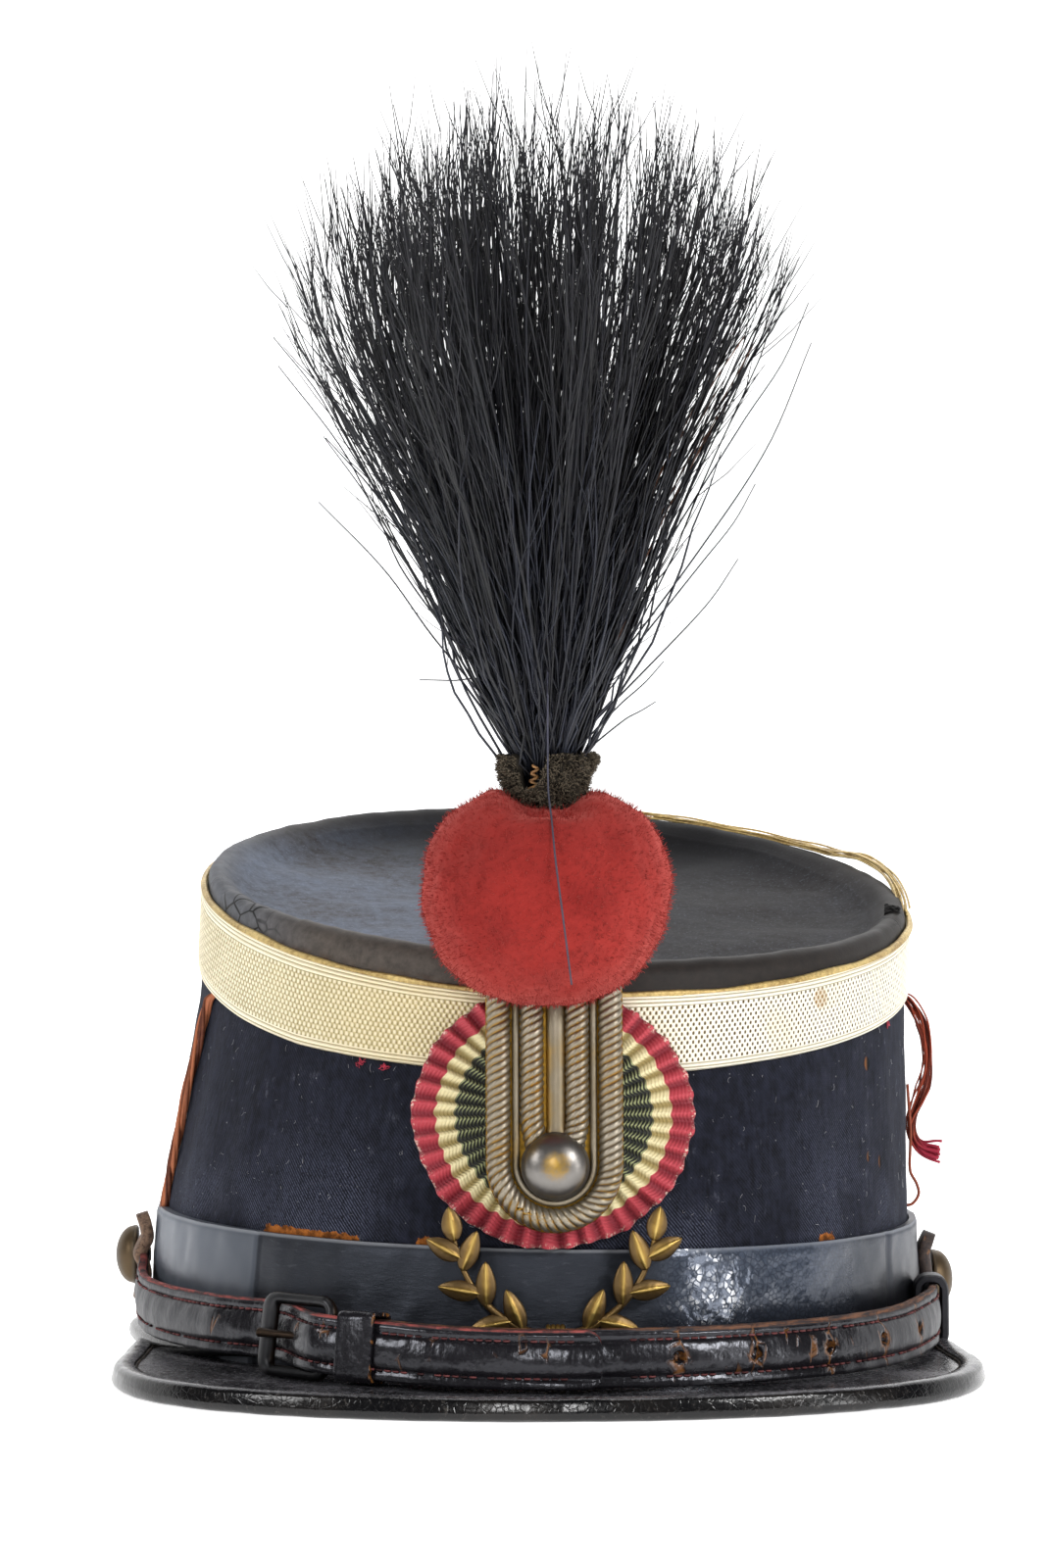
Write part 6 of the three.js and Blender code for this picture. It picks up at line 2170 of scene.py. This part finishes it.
@dataclass
class LaurelSpray(SubAssembly):
    """A pair of leafy brass sprays tied at the foot."""

    base: float = 12.0
    out: float = 3.5
    lean: float = 0.15
    # distance aside and rise of the stem's start, of its middle and of its end
    stem_line: Rows = ((0.5, 0.0), (17.0, 4.0), (20.0, 20.0))
    # place along the stem, side of the stem, length
    leaves: Rows = (
        (0.2, 1.0, 9.0), (0.3, -1.0, 8.5), (0.5, 1.0, 9.0), (0.6, -1.0, 8.5), (0.8, 1.0, 8.5),
        (0.88, -1.0, 8.0), (1.0, 0.0, 7.0),
    )

    def seat(self, local: Array) -> Array:
        """Bend flat places to the curve and lean of the front."""
        seated = local.copy()
        bend = 0.6 * local[..., 0] ** 2 / (2 * self.shape.front_curve)
        seated[..., 1] += bend - self.out - self.lean * (local[..., 2] - self.base)
        return self.shape.front(seated)

    def leaf(self, form: Form, foot: Array, lean: float, length: float) -> None:
        """Add one leaf with a raised midrib.

        Args:
            form: the mesh that takes it.
            foot: place on the stem.
            lean: its direction in the plane of the front.
            length: its length.
        """
        along = np.linspace(0, 1, 15)[:, None]
        across = np.linspace(-1, 1, 11)[None, :]
        half = 1.95 * np.sin(np.pi * along**0.85) ** 0.75 + 0.12
        x = (along * length - 0.6) * np.ones_like(across)
        y = across * half
        rib = 0.5 * np.exp(-((across / 0.16) ** 2)) * (1 - 0.5 * along)
        vein = 0.12 * np.sin(along * 34 - np.abs(across) * 4) * (1 - np.abs(across)) * np.sin(np.pi * along)
        rise = 0.55 + 0.75 * (1 - across**2) * np.sin(np.pi * along) + rib + vein
        c, s = math.cos(lean), math.sin(lean)
        front = np.stack([foot[0] + x * c - y * s, -rise, foot[2] + x * s + y * c], -1)
        back = front[:, ::-1].copy()
        back[..., 1] = 0.5
        raised = np.clip(0.25 + 0.5 * rib + 0.5 * (1 - np.abs(across)) + 0 * along, 0, 1)
        marks = np.concatenate([raised, raised[:, ::-1] * 0], 1)
        form.skin(self.seat(np.concatenate([front, back], 1)), marks={"raised": marks})

    def spray(self) -> Piece:
        """Make both sprays and their tie."""
        form = Form()
        for side in Side:
            sign = side.value
            start, middle, end = (np.array([x * sign, 0, self.base + rise]) for x, rise in self.stem_line)
            t = np.linspace(0, 1, 40)[:, None]
            stem = (1 - t) ** 2 * start + 2 * t * (1 - t) * middle + t**2 * end
            taper = np.linspace(0.95, 0.5, len(stem))
            form.tubes(self.seat(stem)[None], taper[None], 10, {"raised": np.array([0.5])})
            for share, hand, length in self.leaves:
                foot = (1 - share) ** 2 * start + 2 * share * (1 - share) * middle + share**2 * end
                way = 2 * (1 - share) * (middle - start) + 2 * share * (end - middle)
                lean = math.atan2(way[2], way[0]) + hand * sign * 0.75
                self.leaf(form, foot, lean, length)
        angle = np.linspace(0, 2 * np.pi, 60)
        for i in range(4):
            x = -1.4 + 0.95 * i + 0.1 * np.sin(angle)
            z = self.base + 0.4 + 2.1 * np.sin(angle)
            coil = np.stack([x, -1.5 * np.cos(angle), z], -1)
            form.tubes(self.seat(coil)[None], 0.55, 8, {"raised": np.array([0.7])})
        finish = Metal("spray_brass", "#d6b86c", "#93753b", "#2a2010", "#6b5638", 0.35, 0.36)
        return self.put("laurel_spray", form, finish, Slot.BRASS, ["laurel_spray"])


# Pompom and plume


@dataclass
class Pompom(SubAssembly):
    """The clipped wool ball."""

    centre: Point = (-1.7, -100.0, 101.0)
    half: Point = (25.2, 23.5, 22.7)
    fibres: int = 14500
    fibre_radius: float = 0.09
    rim_margin: float = 1.6
    bead_rise: float = 4.9

    def on_rim(self, points: Array) -> Array:
        """Lift places out of the leather bead that the ball rests on."""
        lifted = points.copy()
        _, half_width, half_length, centre_x, centre_y = self.shape.sections[-1]
        x, y, z = (points[..., i] for i in range(3))
        aside = (x - centre_x) / (half_width + self.rim_margin)
        back = (y - centre_y) / (half_length + self.rim_margin)
        floor = self.shape.rim_plane(x, y) + self.bead_rise
        low = (aside**2 + back**2 < 1) & (z < floor)
        lifted[..., 2] = np.where(low, floor, z)
        return lifted

    @staticmethod
    def reach(way: Array) -> Array:
        """How far the ball reaches each way: full shoulders and a slight unevenness."""
        shoulder = (4 * way[..., 2] ** 2 * (1 - way[..., 2] ** 2)) * np.where(way[..., 2] > 0, 0.055, 0.025)
        seat = 0.2 * np.exp(-((way[..., 0] / 0.31) ** 4)) * smooth_step(way[..., 2], 0.62, 0.84)
        seat = seat * (1 - smooth_step(way[..., 1], 0.0, 0.3))
        return 1 + shoulder - seat + 0.014 * ripple(way * 25, 16.0, 92) + 0.006 * ripple(way * 25, 6.0, 93)

    def ball(self) -> Piece:
        """Make the ball: an uneven core under many short fibres."""
        rng = np.random.default_rng(91)
        count = np.arange(self.fibres)
        rise = 1 - 2 * (count + 0.5) / self.fibres
        angle = count * GOLDEN_ANGLE + rng.normal(0, 0.3, self.fibres)
        flat = np.sqrt(1 - rise**2)
        way = np.stack([flat * np.cos(angle), flat * np.sin(angle), rise], -1)
        centre, half = np.asarray(self.centre), np.asarray(self.half)
        tilt = unit(way + rng.normal(0, 0.24, way.shape))
        root = centre + way * half * 0.955 * self.reach(way)[:, None]
        reach = rng.uniform(0.6, 1.35, self.fibres) * (1 + (rng.uniform(size=self.fibres) > 0.985) * 0.5)
        share = np.array([0.0, 1.0])
        curl = rng.normal(0, 0.28, way.shape)
        straight = tilt[:, None] * (reach[:, None] * share)[..., None]
        paths = self.on_rim(root[:, None] + straight + curl[:, None] * (share**2)[None, :, None])
        form = Form()
        rows = np.linspace(0.02, np.pi - 0.02, 60)[:, None]
        turns = np.linspace(0, 2 * np.pi, 110, endpoint=False)[None, :]
        across = np.sin(rows)
        ways = np.stack([across * np.cos(turns), across * np.sin(turns), np.cos(rows) + 0 * turns], -1)
        bumps = self.reach(ways) + 0.004 * ripple(ways * 25, 2.5, 94)
        core = self.on_rim(centre + ways * half * 0.972 * bumps[..., None])
        form.skin(core, marks={"shade": np.full(core.shape[:2], 0.2)})
        radius = self.fibre_radius * np.array([1.0, 0.45])
        form.tubes(paths, radius[None, :], 3, {"shade": rng.uniform(0.2, 1, self.fibres)})
        return self.put("pompom", form, ClippedWool(), Slot.REDWOOL, ["pompom"])


@dataclass
class Plume(SubAssembly):
    """The fan of black bristles, with its chenille collar and the tie thread."""

    axis: tuple[float, float] = (-1.7, -100.0)
    foot: float = 121.0
    collar_bottom: float = 117.5
    collar_top: float = 128.5
    depth: float = 0.82
    # height, half width of the fan towards the left and towards the right
    fan: Rows = (
        (121.0, 5.3, 5.3), (128.5, 7.2, 7.0), (142.0, 15.2, 13.0), (162.0, 26.0, 21.6),
        (182.0, 37.0, 29.6), (201.0, 46.8, 38.6), (215.0, 52.5, 45.0), (232.0, 55.5, 51.0),
        (262.0, 60.0, 58.0),
    )
    # place from axis to outside, height of the tips at the left and at the right
    tips: Rows = (
        (0.0, 262.5, 262.5), (0.2, 261.0, 258.0), (0.35, 256.0, 255.0), (0.54, 246.0, 249.5),
        (0.78, 234.0, 241.5), (0.92, 225.0, 234.5), (1.0, 216.5, 227.0),
    )
    # x and height where a stray leaves the fan, x and height of its tip
    strays: Rows = (
        (29.0, 170.0, 51.0, 211.0), (24.0, 152.0, 36.5, 168.0), (30.0, 168.0, 40.0, 183.0),
        (-33.0, 172.0, -55.0, 206.0), (-24.0, 152.0, -47.0, 179.0), (-41.0, 190.0, -56.0, 212.0),
        (-14.0, 143.5, -27.0, 143.8), (13.0, 139.0, 21.5, 147.5), (14.0, 136.0, 20.0, 139.5),
        (38.0, 196.0, 50.5, 219.0), (-30.0, 165.0, -46.0, 192.0),
    )
    # thread that hangs from the bristles over the pompom
    tie: tuple[Point, ...] = (
        (-1.8, -112.0, 146.0), (-1.8, -112.3, 132.0), (-1.7, -112.4, 122.0), (-1.3, -118.6, 116.2),
        (-0.7, -123.6, 108.0), (0.6, -125.6, 97.5), (2.4, -123.8, 84.0),
    )
    # radius, height round the collar's core
    core: Rows = (
        (4.8, 119.0), (5.7, 117.6), (6.6, 119.5), (7.8, 123.0), (8.8, 126.5), (9.0, 128.2),
        (7.8, 128.6), (6.6, 126.0), (5.5, 120.5),
    )
    # height, radius of the collar's outside
    collar_radius: Rows = ((117.5, 5.9), (119.5, 6.8), (123.0, 8.0), (126.5, 9.1), (128.5, 9.2))
    collar_fibres: int = 6000
    tuft_fibres: int = 900
    gap_angle: float = -math.pi / 2 - 0.42
    locks: int = 64
    lock_bristles: int = 6
    single: int = 620
    hairs: int = 4700
    short: int = 330
    short_hairs: int = 260
    faded: int = 9
    radius: float = 0.25

    @staticmethod
    def sided(rows: Rows, angle: Array, at: Any) -> Array:
        """Read a table with a left and a right column for directions round the axis."""
        right = 0.5 + 0.5 * np.cos(angle)
        return rows_curve(rows, 1, at) * (1 - right) + rows_curve(rows, 2, at) * right

    def bristles(
        self, share: Array, angle: Array, tip: Array, points: int, wild: float, rng: np.random.Generator
    ) -> Array:
        """Paths of bristles in the fan.

        Args:
            share: place of each from the axis, 0, to the outside, 1.
            angle: its direction round the axis in radians.
            tip: height of its tip.
            points: points on each path.
            wild: how far the paths stray, 1 for the common amount.
            rng: source of the small bends.

        Returns:
            An array of paths.
        """
        count = len(share)
        t = np.linspace(0, 1, points)
        height = self.foot + (tip - self.foot)[:, None] * t[None, :]
        reach = self.sided(self.fan, angle[:, None], height)
        base = self.fan[0][1]
        spread = np.clip((reach - base) / (reach[:, -1:] - base), 0, None)
        bend = rng.uniform(0.78, 1.35, count) + 0.2 * share**2
        spread = (spread ** bend[:, None])[..., None]
        first_angle = angle + rng.normal(0, 0.7, count)
        first_share = np.clip(0.35 * share + 0.65 * np.sqrt(rng.uniform(0, 1, count)), 0, 1)
        first = np.stack([np.cos(first_angle), np.sin(first_angle)], -1) * (first_share * base)[:, None]
        last = np.stack([np.cos(angle), self.depth * np.sin(angle)], -1) * (share * reach[:, -1])[:, None]
        flat = first[:, None] * (1 - spread) + last[:, None] * spread
        along = ((height - self.foot) / 130.0)[..., None]
        bow = rng.normal(0, 2.6 * wild, (count, 1, 2)) * np.sin(np.pi * t)[None, :, None] * along[:, -1:]
        sway = rng.normal(0, 4.6 * wild, (count, 1, 2)) * along**2.5
        kink = np.cumsum(rng.normal(0, 0.27 * wild, (count, points, 2)), axis=1) * (t[None, :, None] > 0.15)
        flat = flat + bow + sway + kink
        return np.stack([self.axis[0] + flat[..., 0], self.axis[1] + flat[..., 1], height], -1)

    def outline(self, share: Array, angle: Array) -> Array:
        """Height of the fan's outline for a place between axis and outside."""
        return self.sided(self.tips, angle, share)

    def side_hairs(self, paths: Array, count: int, rng: np.random.Generator) -> Array:
        """Paths of the fine hairs that branch from bristles.

        Args:
            paths: the bristles.
            count: how many hairs.
            rng: source of their places and directions.

        Returns:
            An array of paths.
        """
        last = paths.shape[1] - 1
        which = rng.integers(0, len(paths), count)
        along = (0.3 + 0.67 * np.sqrt(rng.uniform(0, 1, count))) * last
        step = np.minimum(along.astype(int), last - 1)
        first, second = paths[which, step], paths[which, step + 1]
        root = first + (second - first) * (along - step)[:, None]
        way = unit(second - first)
        aside = unit(np.cross(way, rng.normal(size=(count, 3))))
        lean = np.tan(np.radians(rng.uniform(8, 34, count)))[:, None]
        share = np.array([0.0, 0.5, 1.0])[None, :, None]
        length = rng.uniform(5.0, 17.0, count)[:, None, None]
        hairs = root[:, None] + unit(way + lean * aside)[:, None] * share * length
        curve = share**2 * length
        return hairs + way[:, None] * (0.2 * curve) - aside[:, None] * (0.12 * lean[:, None] * curve)

    def long_paths(self) -> Array:
        """Paths of the locks of long bristles and of those that stand singly."""
        rng = np.random.default_rng(101)
        middle_share = np.sqrt(rng.uniform(0.0, 1.0, self.locks)) * 0.95
        middle_angle = rng.uniform(0, 2 * np.pi, self.locks)
        which = np.repeat(np.arange(self.locks), self.lock_bristles)
        in_lock = np.abs(middle_share[which] + rng.normal(0, 0.05, len(which)))
        lock_angle = middle_angle[which] + rng.normal(0, 0.065, len(which)) / np.maximum(in_lock, 0.15)
        loose = np.sqrt(rng.uniform(0.0, 1.0, self.single)) * 0.9 + np.abs(rng.normal(0, 0.1, self.single))
        share = np.concatenate([in_lock, loose])
        angle = np.concatenate([lock_angle, rng.uniform(0, 2 * np.pi, self.single)])
        lock_top = np.concatenate([rng.normal(1.0, 4.0, self.locks)[which], rng.normal(0, 2.0, self.single)])
        total = len(share)
        drop = np.abs(rng.normal(0, 0.03, total))
        drop = drop + (rng.uniform(size=total) > 0.65) * rng.uniform(0, 0.4, total)
        tip = self.foot + (self.outline(share, angle) + lock_top - self.foot) * (1 - drop)
        paths = self.bristles(share, angle, tip, 12, 1.0, rng)
        upper = paths[:, 9, 0]
        parted = (upper > 9.5) & (upper < 17.0) & (tip > 205.0) & (rng.uniform(size=total) < 0.5)
        aside = np.abs(share * np.cos(angle))
        thinned = rng.uniform(size=total) < 0.42 * smooth_step(aside, 0.35, 0.8)
        return paths[~parted & ~thinned]

    def long_bristles(self) -> Piece:
        """Make the long bristles."""
        rng = np.random.default_rng(105)
        paths = self.long_paths()
        taper = np.interp(np.linspace(0, 1, 12), [0.0, 0.5, 0.85, 1.0], [1.0, 0.95, 0.75, 0.3])
        thick = 1.1 * self.radius * rng.uniform(0.7, 1.3, len(paths))
        form = Form()
        form.tubes(paths, thick[:, None] * taper[None, :], 3, {"shade": rng.uniform(0, 1, len(paths))})
        finish = Thread("plume_bristle", "#050508", "#171820", 0.42, rough=0.45)
        return self.put("plume", form, finish, Slot.BRISTLE, ["plume"])

    def fine_hairs(self) -> Piece:
        """Make the fine hairs that branch from the long bristles and cross each other."""
        rng = np.random.default_rng(106)
        paths = self.long_paths()
        hairs = self.side_hairs(paths[paths[:, -1, 2] > 178.0], self.hairs, rng)
        thin = 0.135 * np.array([1.0, 0.9, 0.4])
        form = Form()
        form.tubes(hairs, thin[None, :], 3, {"shade": rng.uniform(0, 1, self.hairs)})
        finish = Thread("plume_hair", "#060608", "#1d1d24", 0.5, rough=0.5)
        return self.put("plume_hairs", form, finish, Slot.BRISTLE)

    def brown_bristles(self) -> Piece:
        """Make the few faded brown bristles at the right edge."""
        rng = np.random.default_rng(104)
        count = self.faded
        share = rng.uniform(0.88, 1.0, count)
        tip = rng.uniform(192, 216, count)
        paths = self.bristles(share, rng.normal(-0.25, 0.2, count), tip, 12, 0.6, rng)
        taper = self.radius * np.linspace(1.0, 0.5, 12)
        form = Form()
        form.tubes(paths, taper[None, :], 4, {"shade": rng.uniform(0, 1, count)})
        return self.put("plume_brown", form, Thread("faded_bristle", "#1d110c", "#6b3d22", 0.4), Slot.BRISTLE)

    def short_bristles(self) -> Piece:
        """Make the greyer short bristles in front and a few strays."""
        rng = np.random.default_rng(102)
        count = self.short
        share = np.sqrt(rng.uniform(0.3, 1.05, count))
        in_front = rng.uniform(size=count) < 0.75
        front_angle = rng.uniform(np.pi, 2 * np.pi, count)
        angle = np.where(in_front, front_angle, rng.uniform(0, np.pi, count))
        tip = self.foot + (self.outline(share, angle) - self.foot) * rng.uniform(0.22, 0.68, count)
        paths = self.bristles(share, angle, tip, 10, 2.3, rng)
        taper = np.interp(np.linspace(0, 1, 10), [0.0, 0.7, 1.0], [1.0, 0.85, 0.35])
        form = Form()
        form.tubes(paths, 1.1 * self.radius * taper[None, :], 4, {"shade": rng.uniform(0.1, 1, count)})
        hairs = self.side_hairs(paths, self.short_hairs, rng)
        thin = 0.1 * np.array([1.0, 0.85, 0.35])
        form.tubes(hairs, thin[None, :], 3, {"shade": rng.uniform(0.3, 1, self.short_hairs)})
        lines = []
        for x, height, tip_x, tip_height in self.strays:
            depth = self.axis[1] + rng.uniform(-6, 2)
            middle = ((x + tip_x) / 2 + 0.06 * (tip_height - height), depth - 1, (height + tip_height) / 2)
            start_x = self.axis[0] + (x - self.axis[0]) * 0.35
            start = (start_x, depth, self.foot + (height - self.foot) * 0.45)
            lines.append(smooth_path([start, (x, depth, height), middle, (tip_x, depth - 2, tip_height)], 24))
        thin = 0.22 * np.linspace(1.0, 0.45, 24)
        form.tubes(np.array(lines), thin[None, :], 4, {"shade": np.full(len(lines), 0.5)})
        finish = Thread("plume_grey", "#07070b", "#232632", 0.42, rough=0.45)
        return self.put("plume_short", form, finish, Slot.BRISTLE)

    def collar_reach(self, height: Array) -> Array:
        """Radius of the collar's outside."""
        return rows_line(self.collar_radius, 1, height)

    def collar_top_at(self, height: Array, angle: Array) -> Array:
        """Heights on the collar, lowered at the gap in its front where the bristles show."""
        away = (angle - self.gap_angle + np.pi) % (2 * np.pi) - np.pi
        return height - 0.72 * np.clip(height - 119.3, 0, None) * np.exp(-((away / 0.33) ** 4))

    def collar(self) -> Piece:
        """Make the chenille collar round the foot of the bristles, with a tuft at its right."""
        rng = np.random.default_rng(103)
        form = Form()
        angle = np.linspace(0, 2 * np.pi, 96, endpoint=False)[None, :]
        rings = []
        for reach, height in self.core:
            lump = 1 + 0.08 * np.sin(angle * 7 + height * 0.9) + 0.06 * np.sin(angle * 13 - height * 1.3)
            lift = self.collar_top_at(height + 0.7 * np.sin(angle * 5 + 1.0) * (height > 127.9), angle)
            x = self.axis[0] + reach * lump * np.cos(angle)
            y = self.axis[1] + reach * lump * np.sin(angle)
            rings.append(np.stack([x, y, lift], -1)[0])
        core = np.array(rings)
        form.skin(core, loop=True, marks={"shade": np.full(core.shape[:2], 0.1)})
        count = self.collar_fibres
        height = rng.uniform(self.collar_bottom, self.collar_top + 0.4, count)
        around = rng.uniform(0, 2 * np.pi, count)
        reach = self.collar_reach(height) * (1 + 0.07 * np.sin(around * 7 + height * 0.9))
        height = self.collar_top_at(height, around)
        c, s = np.cos(around), np.sin(around)
        root = np.stack([self.axis[0] + reach * c, self.axis[1] + reach * s, height], -1)
        way = unit(np.stack([c, s, np.zeros(count)], -1) + rng.normal(0, 0.6, (count, 3)))
        tuft_centre = np.array([self.axis[0] + 9.2, self.axis[1] - 2.4, 127.9])
        tuft = unit(rng.normal(size=(self.tuft_fibres, 3)))
        root = np.concatenate([root, tuft_centre + tuft * 0.7])
        way = np.concatenate([way, tuft])
        share = np.array([-0.3, 1.0])
        long = rng.uniform(0.5, 1.2, len(root))
        paths = root[:, None] + way[:, None] * (long[:, None] * share)[..., None]
        form.tubes(paths, 0.15 * np.array([1.0, 0.55])[None, :], 3, {"shade": rng.uniform(0, 1, len(root))})
        finish = Thread("collar_chenille", "#16130f", "#6b6152", 0.15)
        return self.put("plume_socket", form, finish, Slot.CHENILLE, ["plume_socket"])

    def collar_coil(self) -> Piece:
        """Make the coil of gold thread that shows at the front of the collar."""
        turn = np.linspace(0, 1, 220)
        height = 119.8 + 7.0 * turn
        around = self.gap_angle + 0.12 * turn
        reach = 7.1 + 0.8 * turn
        form = Form()
        for hand in (-1.0, 1.0):
            wind = hand * turn * 2 * np.pi * 4.5
            x = self.axis[0] + reach * np.cos(around) + (1.0 - 0.5 * turn) * np.cos(wind)
            y = self.axis[1] + reach * np.sin(around) + 0.45 * np.sin(wind)
            form.tubes(np.stack([x, y, height], -1)[None], 0.3, 6)
        return self.put("collar_coil", form, GoldThread("copper_thread", "#b98a58", "#3a1f0e"), Slot.CHENILLE)

    def tie_thread(self) -> Piece:
        """Make the thin thread that hangs from the bristles over the pompom."""
        form = Form()
        form.tubes(smooth_path(self.tie, 90)[None], 0.2, 6, {"shade": np.array([0.6])})
        finish = Thread("tie_thread", "#2a2a33", "#4a4a58")
        return self.put("plume_thread", form, finish, Slot.BRISTLE)

    def stem(self, frame: Mapping[str, Any]) -> None:
        """Give the hidden stem its iron finish."""
        node = frame["nodes"]["plume_stem"]
        finish = Metal("stem_iron", "#6a6a6c", "#333336", "#111112", "#4b3a2b", 0.2, 0.45)
        node.data.materials.clear()
        node.data.materials.append(finish.material())
        LOG.info("plume_stem: kept")


def main() -> None:
    """Load the frame and dress it, piece by piece."""
    logging.basicConfig(level=logging.INFO, format="%(name)s %(message)s")
    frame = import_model()
    low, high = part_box("lower_band")
    shape = HatShape(shift=(low.y + high.y) / 2 / MM)
    studio = Studio(shape)
    studio.camera()
    piping = Piping(shape)
    piping.loose()
    studio.sweep()
    studio.lights()
    piping.flat()
    piping.thin_thread()
    body = Body(shape)
    body.wall()
    body.lint()
    crown = Crown(shape)
    crown.top()
    crown.knot()
    lace = Lace(shape)
    lace.band()
    lace.fold()
    lace.loose_threads()
    LowerBand(shape, body=body).band()
    peak = Peak(shape)
    peak.plate()
    peak.roll()
    peak.stitches()
    peak.welt()
    strap = ChinStrap(shape)
    strap.length("strap_left", -strap.end_turn, strap.tail_turn, Side.LEFT, 62)
    strap.length("strap_right", strap.right_start, strap.end_turn, Side.RIGHT, 63)
    strap.stitches()
    strap.loop("strap_keeper", strap.keeper_turn, strap.keeper_length, -1.0, 3.4, 1.0, 64)
    strap.loop("strap_slide", strap.slide_turn, strap.slide_length, -2.0, 1.0, 1.8, 65)
    strap.buckle()
    strap.tongue()
    strap.button("side_button_left", -90.0, 19.6)
    strap.button("side_button_right", 90.0, 13.6)
    Cockade(shape).rosette()
    plate = LoopPlate(shape)
    plate.plate()
    plate.button()
    LaurelSpray(shape).spray()
    Pompom(shape).ball()
    plume = Plume(shape)
    plume.long_bristles()
    plume.fine_hairs()
    plume.short_bristles()
    plume.brown_bristles()
    plume.collar()
    plume.collar_coil()
    plume.tie_thread()
    plume.stem(frame)


if __name__ == "__main__":
    main()
